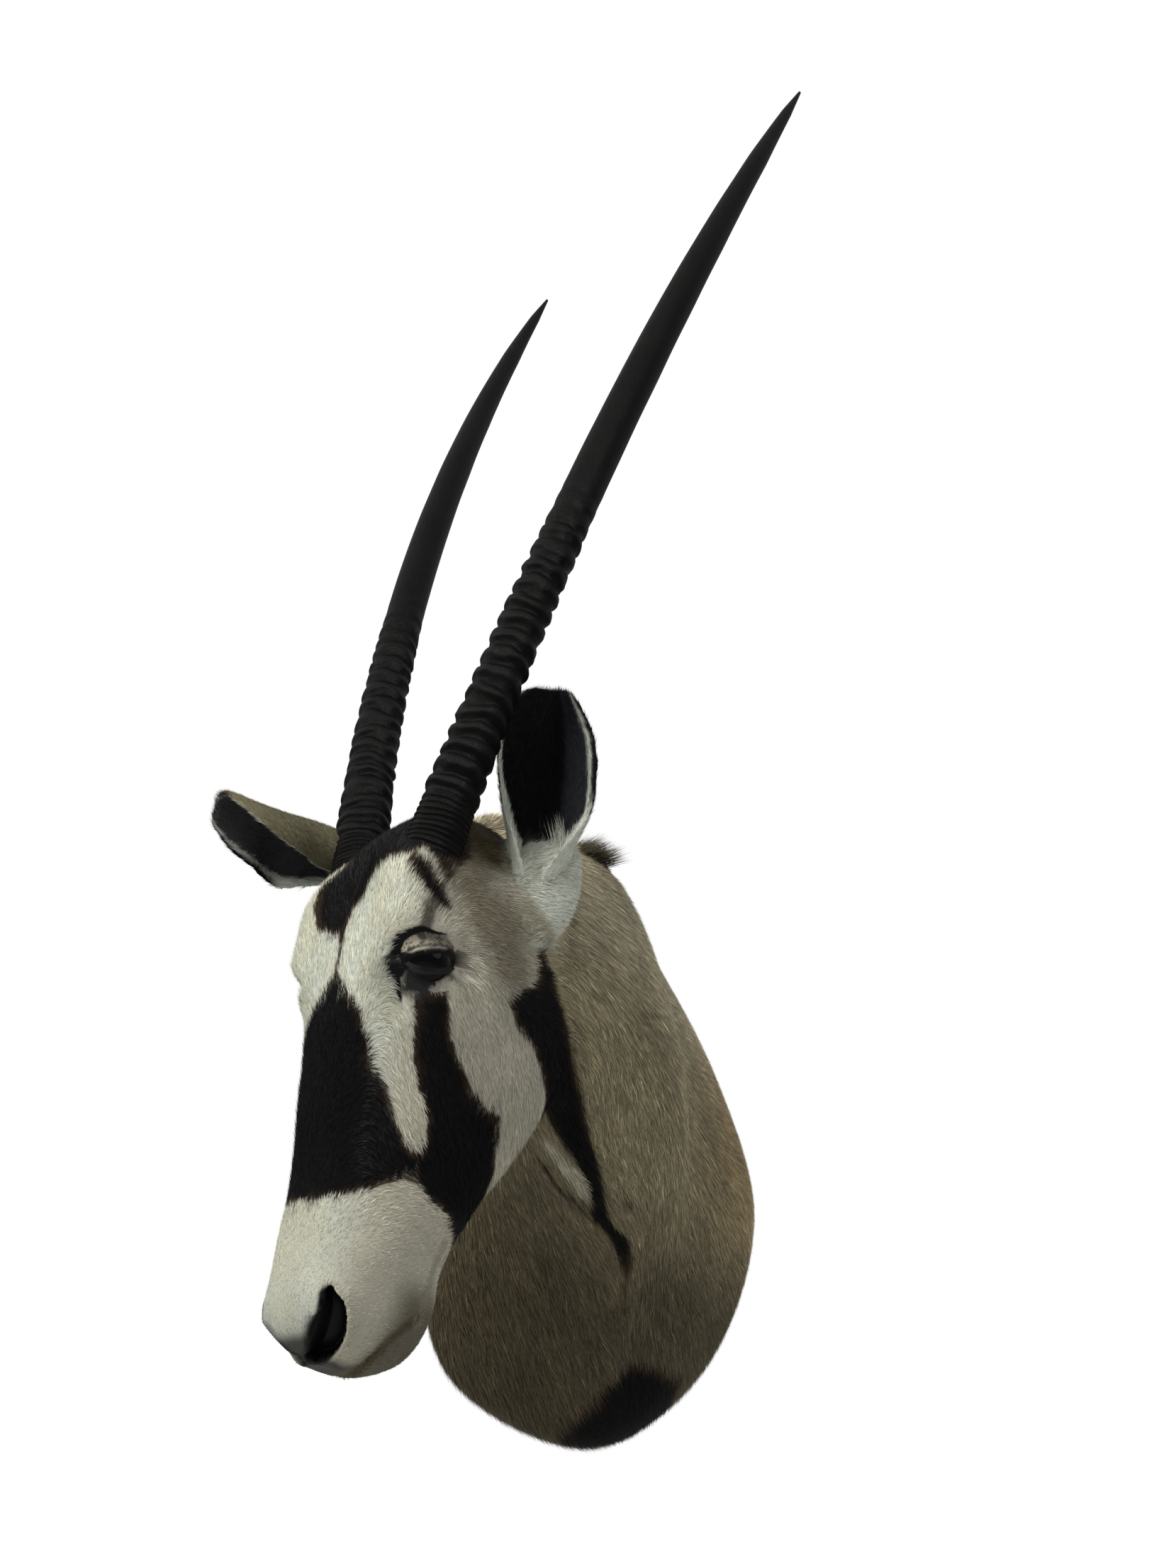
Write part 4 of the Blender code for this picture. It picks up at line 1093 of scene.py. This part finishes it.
def sample(skin, chosen, density):
    """Random places on the chosen triangles: their triangles and corner shares."""
    area = np.linalg.norm(triangle_normals(skin["points"], skin["triangles"]), axis=1) / 2
    amount = area * density * chosen
    total = np.cumsum(amount)
    count = int(total[-1])
    marks = (np.arange(count) + RANDOM.random(count)) * total[-1] / count
    triangle = np.minimum(np.searchsorted(total, marks), len(area) - 1)
    a, b = RANDOM.random((2, count))
    over = a + b > 1
    a, b = np.where(over, 1 - a, a), np.where(over, 1 - b, b)
    shares = np.column_stack((1 - a - b, a, b))
    return triangle, shares


def read(skin, key, triangle, shares):
    return (skin[key][skin["triangles"][triangle]] * shares[:, :, None]).sum(axis=1)


BLADE_TONES = (0.80, 0.80, 1.16)      # at a hair's root, on either side, and at its tip


def blades(name, roots, tips, across, colours, material):
    """Hairs as single tapered triangles. across reaches from a root's middle to its side."""
    points = np.stack((roots - across, roots + across, tips), axis=1).reshape(-1, 3)
    thing = triangle_object(name, points, np.arange(len(points)).reshape(-1, 3), material)
    tones = np.array(BLADE_TONES)[None, :, None]
    set_colours(thing, "coat", (colours[:, None] * tones).reshape(-1, 3))
    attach(thing, "root")


# Kinds of hair: hairs on a square metre, breadth, lift off the skin and sway of the locks in
# degrees, and how much their brightness varies.
FACE_HAIR = (1.05e6, 0.00050, 15, 22, 0.20)
EAR_HAIR = (0.9e6, 0.00050, 14, 30, 0.20)
NECK_HAIR = (0.70e6, 0.00062, 12, 20, 0.46)
TUFT_HAIR = (1.1e6, 0.00070, 24, 40, 0.60)
FRINGE_HAIR = (0.9e6, 0.00050, 14, 26, 0.15)
SINGLE_SWAY = 7                       # degrees by which single hairs turn
SINGLE_TILT = 22                      # and by which their breadth leans out of the skin
ROOT_DEPTH = 0.0004


def fur(name, skin, chosen, kind, length, material, flow="hair", shade=1.0):
    """Hairs that lie along a direction on the skin. length is one size per skin point."""
    density, width, lift, locks, contrast = kind
    triangle, shares = sample(skin, chosen, density)
    roots = read(skin, "points", triangle, shares)
    normals = unit(read(skin, "normals", triangle, shares))
    flow = unit(read(skin, flow, triangle, shares))
    sizes = (length[skin["triangles"][triangle]] * shares).sum(axis=1)
    weights, ear = (read(skin, key, triangle, shares) for key in ("weights", "ear"))
    colours, bare = coat(roots, weights, ear)
    keep = RANDOM.random(len(roots)) > bare * 1.4
    count = len(roots)
    lock = (noise(roots, 0.014) - 0.5) + 0.65 * (noise(roots + 3.0, 0.004) - 0.5)
    swing = radians(locks) * lock + radians(SINGLE_SWAY) * RANDOM.standard_normal(count)
    across = np.cross(normals, flow)
    heading = flow * np.cos(swing)[:, None] + across * np.sin(swing)[:, None]
    rise = radians(lift) * (0.55 + 0.9 * RANDOM.random(count))
    course = heading * np.cos(rise)[:, None] + normals * np.sin(rise)[:, None]
    sizes = sizes * (0.65 + 0.7 * RANDOM.random(count))
    tilt = radians(SINGLE_TILT) * RANDOM.standard_normal(count)
    sides = np.cross(normals, heading)
    sides = sides * np.cos(tilt)[:, None] + normals * np.sin(tilt)[:, None]
    roots = roots - normals * ROOT_DEPTH
    tips = roots + course * sizes[:, None]
    tips[:, 1] = np.minimum(tips[:, 1], TIP_BACK)
    bright = np.exp(contrast * RANDOM.standard_normal(count) + 0.16 * (noise(roots, 0.006) - 0.5)
                    + 0.34 * (noise(roots, 0.035) - 0.5))
    colours = colours * bright[:, None] * shade
    widths = (width * (0.7 + 0.6 * RANDOM.random(count)))[keep]
    across = sides[keep] * widths[:, None] / 2
    blades(name, roots[keep], tips[keep], across, colours[keep], material)


# ---------------------------------------------------------------- materials
def feed(tree, node, inputs):
    """Set a node's inputs to values, or link them to the outputs of others."""
    for key, value in inputs.items():
        if isinstance(value, bpy.types.NodeSocket):
            tree.links.new(value, node.inputs[key])
        else:
            node.inputs[key].default_value = value


def add_node(tree, kind, inputs, **settings):
    node = tree.nodes.new(kind)
    for key, value in settings.items():
        setattr(node, key, value)
    feed(tree, node, inputs)
    return node


def make_material(name, look):
    """A material whose shader has the inputs that look makes in its node tree."""
    material = bpy.data.materials.new(name)
    material.use_nodes = True
    tree = material.node_tree
    feed(tree, tree.nodes["Principled BSDF"], look(tree))
    return material


def attribute(tree, name, output="Fac"):
    return add_node(tree, "ShaderNodeAttribute", {}, attribute_name=name).outputs[output]


def coordinate(tree, output="Object"):
    return add_node(tree, "ShaderNodeTexCoord", {}).outputs[output]


def cloud(tree, place, scale, detail, distortion=0.0):
    inputs = {"Vector": place, "Scale": scale, "Detail": detail, "Distortion": distortion}
    return add_node(tree, "ShaderNodeTexNoise", inputs).outputs["Fac"]


def ranged(tree, value, low, high):
    """What runs from low to high as the value goes from 0 to 1."""
    inputs = {"Value": value, "To Min": low, "To Max": high}
    return add_node(tree, "ShaderNodeMapRange", inputs).outputs["Result"]


def tinted(tree, colour, value, low, high):
    """A colour times a grey that runs from low to high with the value."""
    inputs = {0: colour, "Scale": ranged(tree, value, low, high)}
    return add_node(tree, "ShaderNodeVectorMath", inputs, operation="SCALE").outputs[0]


def ramp(tree, value, *stops):
    """A colour that runs through the stops with the value; each has its place and colour."""
    node = add_node(tree, "ShaderNodeValToRGB", {"Fac": value})
    elements = node.color_ramp.elements
    for place, _ in stops[2:]:
        elements.new(place)
    for element, (place, colour) in zip(elements, stops):
        element.position = place
        element.color = (*colour, 1)
    return node.outputs["Color"]


def bump(tree, height, strength, distance):
    inputs = {"Height": height, "Strength": strength, "Distance": distance}
    return add_node(tree, "ShaderNodeBump", inputs).outputs["Normal"]


def skin_look(tree):
    fine = cloud(tree, coordinate(tree), scale=900.0, detail=3.0)
    return {"Base Color": tinted(tree, attribute(tree, "coat", "Color"), fine, 0.62, 1.18),
            "Roughness": ranged(tree, attribute(tree, "bare"), 0.85, 0.42),
            "Specular IOR Level": 0.12, "Normal": bump(tree, fine, 0.5, 0.0004)}


def hair_look(tree):
    fine = cloud(tree, coordinate(tree), scale=260.0, detail=2.0)
    return {"Base Color": tinted(tree, attribute(tree, "coat", "Color"), fine, 0.85, 1.15),
            "Roughness": 0.50, "Specular IOR Level": 0.12}


def horn_look(tree):
    """Black, with grain along the horn, and worn greyer on the rings' crests."""
    drawn = add_node(tree, "ShaderNodeVectorMath",
                     {0: attribute(tree, "around", "Vector"), 1: (1.0, 1.0, 6.0)}, operation="MULTIPLY")
    grain = cloud(tree, drawn.outputs["Vector"], scale=60.0, detail=5.0)
    black = ramp(tree, cloud(tree, coordinate(tree), scale=28.0, detail=4.0),
                 (0.35, (0.0012, 0.0012, 0.0013)), (0.72, (0.0035, 0.0029, 0.0025)))
    worn = add_node(tree, "ShaderNodeMix",
                    {"Factor": attribute(tree, "crest"), "A": black, "B": (0.0070, 0.0066, 0.0066, 1)},
                    data_type="RGBA")
    return {"Base Color": worn.outputs["Result"], "Roughness": ranged(tree, grain, 0.24, 0.48),
            "Specular IOR Level": 0.08, "Normal": bump(tree, grain, 0.8, 0.0009)}


def eye_look(tree):
    """From the black pupil's oval through a brown iris to its rim."""
    dark = ramp(tree, attribute(tree, "iris"), (0.30, (0.0008, 0.0008, 0.0010)),
                (0.42, (0.0018, 0.0014, 0.0012)), (0.86, (0.0014, 0.0012, 0.0012)))
    fibres = cloud(tree, coordinate(tree), scale=700.0, detail=3.0)
    return {"Base Color": tinted(tree, dark, fibres, 0.5, 1.5), "Roughness": 0.09,
            "Specular IOR Level": 0.13}


def board_look(tree):
    drawn = add_node(tree, "ShaderNodeMapping", {"Vector": coordinate(tree), "Scale": (1.0, 1.0, 9.0)})
    grain = cloud(tree, drawn.outputs["Vector"], scale=22.0, detail=6.0, distortion=0.6)
    return {"Base Color": ramp(tree, grain, (0.32, (0.24, 0.145, 0.070)), (0.68, (0.47, 0.32, 0.18))),
            "Roughness": 0.62, "Normal": bump(tree, grain, 0.35, 0.0008)}


def steel_look(tree):
    grain = cloud(tree, coordinate(tree), scale=140.0, detail=4.0)
    return {"Base Color": ramp(tree, grain, (0.0, (0.42, 0.42, 0.43)), (1.0, (0.66, 0.66, 0.66))),
            "Roughness": ranged(tree, grain, 0.28, 0.5), "Metallic": 1.0}


def floor_look(_):
    return {"Base Color": (0.62, 0.62, 0.61, 1), "Roughness": 0.9}


# ---------------------------------------------------------------- horns
HORN_RADII = ((0.0, 0.0208), (0.03, 0.0199), (0.1, 0.0185), (0.2, 0.0173), (0.3, 0.0166),
              (0.4, 0.0162), (0.5, 0.0156), (0.6, 0.0145), (0.7, 0.0129), (0.85, 0.0093),
              (0.95, 0.0052), (1.0, 0.0014))
PATH_STEPS = 240
FINE_STATIONS = 145
HORN_STATIONS = 235
TIP_STATIONS = 62
HORN_AROUND = 44
RING_START = 0.6                      # how far the first ring is past the horn's base, in rings
RING_PHASE = 0.07
RIDGE_POWER = 0.7                     # under 1 for ridges broader than their valleys


def horn_path(places, side):
    steps = np.linspace(0, 1, PATH_STEPS + 1)
    lean = HORN_LEAN_BASE + (HORN_LEAN_TIP - HORN_LEAN_BASE) * steps ** HORN_BEND
    spread = HORN_SPREAD_BASE + (HORN_SPREAD_TIP - HORN_SPREAD_BASE) * steps
    course = np.column_stack((side * np.sin(spread), np.sin(lean) * np.cos(spread),
                              np.cos(lean) * np.cos(spread)))
    strides = (course[1:] + course[:-1]) / 2 * HORN_LENGTH / PATH_STEPS
    walk = np.vstack(((0, 0, 0), np.cumsum(strides, axis=0)))
    start = np.array((side * HORN_SPACING / 2, *HORN_BASE))
    points = [np.interp(places, steps, walk[:, i]) for i in range(3)]
    heading = [np.interp(places, steps, course[:, i]) for i in range(3)]
    below = np.minimum(places, 0.0)[:, None] * HORN_LENGTH * course[0]
    return start + np.column_stack(points) + below, unit(np.column_stack(heading))


def make_horn(name, side, material):
    """A horn with uneven rings, each a soft bulge that wanders round the horn."""
    marks = (-HORN_ROOT, 1.5 * FINE_RINGED, 1.04 * RING_END * HORN_LENGTH, HORN_LENGTH)
    counts = (FINE_STATIONS, HORN_STATIONS, TIP_STATIONS)
    stretches = [np.linspace(a, b, n, endpoint=False) for a, b, n in zip(marks, marks[1:], counts)]
    places = np.append(np.hstack(stretches), HORN_LENGTH) / HORN_LENGTH
    points, heading = horn_path(places, side)
    table = np.array(HORN_RADII)
    radius = np.interp(places, table[:, 0], table[:, 1])
    first = unit(np.cross(heading, (0.0, 1.0, 0.0)))
    second = np.cross(heading, first)
    angle = round_angles(HORN_AROUND)
    turn = np.column_stack((np.cos(angle), np.sin(angle)))
    circle = first[:, None] * turn[None, :, :1] + second[:, None] * turn[None, :, 1:]
    smooth = (points[:, None] + circle * radius[:, None, None]).reshape(-1, 3)
    shape = (len(places), HORN_AROUND)
    turns = np.tile(turn, (len(places), 1))
    spot = smooth + side
    order = np.clip(places, 0, None) / RING_END
    order = RING_COUNT * order ** (1 / RING_CROWDING) - RING_START
    wander = waver(spot, (0.55, 0.020), (0.30, 0.008)).reshape(shape)
    phase = order[:, None] + wander
    ridge = (0.5 + 0.5 * np.cos(2 * pi * (phase - RING_PHASE))) ** RIDGE_POWER
    uneven = 0.75 + 0.5 * noise(spot, 0.014).reshape(shape)
    fade = 1.0 - smooth_step(RING_FADE, 1.0, order / RING_COUNT)
    foot = smooth_step(-0.004, 0.004, places)
    minor = 0.12 * (0.5 + 0.5 * np.cos(6 * pi * phase + 1.0))
    fine_phase = places[:, None] * HORN_LENGTH / FINE_PITCH + 1.5 * wander
    fine = (0.5 + 0.5 * np.cos(2 * pi * fine_phase)) ** RIDGE_POWER
    near = smooth_step(FINE_RINGED + 0.010, FINE_RINGED - 0.006, places * HORN_LENGTH)[:, None]
    relief = ((ridge * uneven - 0.45 + minor) * RING_HEIGHT * (1.0 - near)
              + (fine * uneven - 0.45) * FINE_HEIGHT * near) * (fade * foot)[:, None]
    grain = np.column_stack((turns, np.repeat(places * 2.0, HORN_AROUND) + side))
    grooves = waver(grain, (0.00035, 0.10)).reshape(shape)
    relief = relief + grooves * smooth_step(1.0, 0.8, places)[:, None]
    rings = from_head(points[:, None] + circle * (radius[:, None] + relief)[:, :, None])
    horn = mesh_object(name, rings.reshape(-1, 3), ring_faces(*shape), material)
    values = np.column_stack((turns, np.repeat(places, HORN_AROUND)))
    layer = horn.data.attributes.new("around", "FLOAT_VECTOR", "POINT")
    layer.data.foreach_set("vector", values.astype(np.float32).ravel())
    set_values(horn, "crest", (ridge * (fade * foot)[:, None]).ravel() ** 3 * 0.7)
    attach(horn, "root")
    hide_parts(name)
    horn.name = f"{name}_ringed"


# ---------------------------------------------------------------- eyes
IRIS_OVAL = (1.15, 0.62)              # half lengths over the ball's radius
NO_IRIS = 1.5                         # what the ball's back has in place of the oval's value


def make_eye(name, side, material):
    """A glass eye: a ball, with how far out each point is in the pupil's oval."""
    mesh = bmesh.new()
    bmesh.ops.create_uvsphere(mesh, u_segments=64, v_segments=40, radius=1.0)
    ball = bpy.data.meshes.new(name)
    mesh.to_mesh(ball)
    mesh.free()
    spots = np.array([vert.co for vert in ball.vertices])
    x, y, z = spots.T
    oval = np.sqrt((x / IRIS_OVAL[0]) ** 2 + (y / IRIS_OVAL[1]) ** 2)
    place = spots @ np.array((EYE_REAR, EYE_UP, EYE_GAZE)) * EYE_RADIUS + EYE_CENTRE
    place = from_head(place * (side, 1.0, 1.0))
    ball.vertices.foreach_set("co", place.astype(np.float32).ravel())
    eye = show(f"{name}_glass", ball, material)
    if side < 0:
        ball.flip_normals()
    set_values(eye, "iris", np.where(z > 0, oval, NO_IRIS))
    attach(eye, "root")
    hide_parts(name)


# ---------------------------------------------------------------- the mount
NOSE_LENGTH = 0.0030                  # of the hair; it grows by the next one up the face
FACE_GROWTH = 0.0038
LID_LENGTH_SHARE = 0.28               # the share of that length beside the lids
NECK_LENGTH = 0.0115
CHEST_GROWTH = 0.006
EAR_LENGTH = 0.006
TUFT_LENGTH = 0.018
TUFT_COURSE = (0.8, 0.4, 0.35)
TUFT_SHADE = 0.22
FRINGE_LENGTH = 0.019
FRINGE_COURSE = (-0.05, -0.10, 1.0)
FRINGE_ALONG = (0.26, 0.33)           # where it grows along the ear,
FRINGE_OUT = (0.05, 0.50)             # and across it, outwards
BELTS = (("front", -0.9, -0.36), ("middle", -0.36, -0.22), ("rear", -0.22, -0.10), ("wall", -0.10, 0.0))
hide_skin = make_material("hide_skin", skin_look)
hide_hair = make_material("hide_hair", hair_look)
skin = make_skin()
skin["hair"] = hair_flow(skin)
colours, bare = coat(skin["points"], skin["weights"], skin["ear"])
cape = triangle_object("cape_skin", skin["points"], skin["triangles"], hide_skin)
set_colours(cape, "coat", colours)
set_values(cape, "bare", bare)
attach(cape, "root")
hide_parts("cape")

centres = skin["points"][skin["triangles"]].mean(axis=1)
parts = skin["weights"][skin["triangles"]].mean(axis=1).argmax(axis=1)
u_of = to_head(skin["points"])[:, 2] / MM
face_length = NOSE_LENGTH + FACE_GROWTH * smooth_step(-300, -200, u_of)
spots, side = mirrored(skin["points"])
from_lids = np.linalg.norm(spots - EYE_CENTRE - EYE_RADIUS * EYE_GAZE, axis=1)
beyond_lids = smooth_step(0.016, 0.036, from_lids)
face_length = face_length * (LID_LENGTH_SHARE + (1 - LID_LENGTH_SHARE) * beyond_lids)
neck_length = NECK_LENGTH + CHEST_GROWTH * smooth_step(-0.17, -0.25, skin["points"][:, 2])
every = np.ones(len(u_of))
fur("face_hair", skin, parts == HEAD, FACE_HAIR, face_length, hide_hair)
fur("ear_hair", skin, parts == EAR, EAR_HAIR, EAR_LENGTH * every, hide_hair)
on_neck = ((parts == NECK) | (parts == MANE)) & (centres[:, 1] < HAIR_BACK)
for label, low, high in BELTS:
    belt = on_neck & (centres[:, 1] >= low) & (centres[:, 1] < high)
    fur(f"neck_hair_{label}", skin, belt, NECK_HAIR, neck_length, hide_hair)

# Long bristles on the mane behind the ear, and the fringe in the left ear's hollow.
skin["bristle"] = np.tile(unit(TUFT_COURSE), (len(u_of), 1))
tuft = (parts == MANE) & (np.linalg.norm(centres - TUFT_PLACE, axis=1) < TUFT_REACH)
fur("mane_tuft", skin, tuft, TUFT_HAIR, TUFT_LENGTH * every, hide_hair, "bristle", TUFT_SHADE)
skin["fringe"] = (np.array(FRINGE_COURSE) * side_factors(side)) @ HEAD_AXES
along, turn, inner = skin["ear"][skin["triangles"]].mean(axis=1).T
across = to_head(centres)[:, 0]
out = turn * np.sign(across)
fringe = (parts == EAR) & (inner > 0.6) & (across > 0)
for value, (low, high) in ((out, FRINGE_OUT), (along, FRINGE_ALONG)):
    fringe = fringe & (value > low) & (value < high)
fur("ear_fringe", skin, fringe, FRINGE_HAIR, FRINGE_LENGTH * every, hide_hair, "fringe")

black_horn = make_material("horn_black", horn_look)
black_glass = make_material("eye_glass", eye_look)
for name, side in (("left", 1.0), ("right", -1.0)):
    make_horn(f"{name}_horn", side, black_horn)
    make_eye(f"{name}_eye", side, black_glass)
for node, name, look in (("backboard", "board_wood_grain", board_look),
                         ("hanger_plate", "hanger_zinc", steel_look)):
    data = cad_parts[node].data
    data.materials.clear()
    data.materials.append(make_material(name, look))

# ---------------------------------------------------------------- floor, light and camera
FLOOR_HEIGHT = -0.95


def make_floor():
    corners = [(x, y, FLOOR_HEIGHT) for x, y in ((-6, -6), (6, -6), (6, 6), (-6, 6))]
    floor = mesh_object("floor", corners, [(0, 1, 2, 3)], make_material("floor_pale", floor_look))


def area_light(name, place, aim, size, power, colour):
    """A round light that faces a point."""
    data = bpy.data.lights.new(name, "AREA")
    data.shape = "DISK"
    data.size = size
    data.energy = power
    data.color = colour
    lamp = bpy.data.objects.new(name, data)
    lamp.location = place
    lamp.rotation_euler = (Vector(aim) - Vector(place)).to_track_quat("-Z", "Y").to_euler()
    bpy.context.scene.collection.objects.link(lamp)


def make_world():
    """White all round: full where the camera sees it, and dim, from below to above, as light."""
    world = bpy.data.worlds.new("studio")
    world.use_nodes = True
    tree = world.node_tree
    parts = add_node(tree, "ShaderNodeSeparateXYZ", {0: coordinate(tree, "Generated")})
    height = add_node(tree, "ShaderNodeMapRange", {"Value": parts.outputs["Z"], "From Min": -0.6,
                                                   "From Max": 0.9, "To Min": 0.16, "To Max": 0.42})
    seen = add_node(tree, "ShaderNodeLightPath", {}).outputs["Is Camera Ray"]
    strength = ranged(tree, seen, height.outputs["Result"], 1.0)
    feed(tree, tree.nodes["Background"], {"Color": (1.0, 1.0, 1.0, 1.0), "Strength": strength})
    bpy.context.scene.world = world


def make_camera():
    data = bpy.data.cameras.new("camera")
    data.sensor_width = 36.0
    data.lens = 36.065
    camera = bpy.data.objects.new("camera", data)
    camera.location = (-0.01, -1.65, -0.38)
    camera.rotation_euler = (radians(116.1), 0.0, 0.0)
    bpy.context.scene.collection.objects.link(camera)
    bpy.context.scene.camera = camera


make_floor()
make_world()
area_light("key", (-1.2, -2.0, 1.5), (-0.1, -0.4, 0.0), 1.2, 62, (1.0, 1.0, 0.96))
area_light("fill", (1.6, -1.6, 0.9), (0.0, -0.3, 0.0), 1.6, 8, (0.94, 0.97, 1.0))
make_camera()
bpy.context.scene.view_settings.view_transform = "Standard"
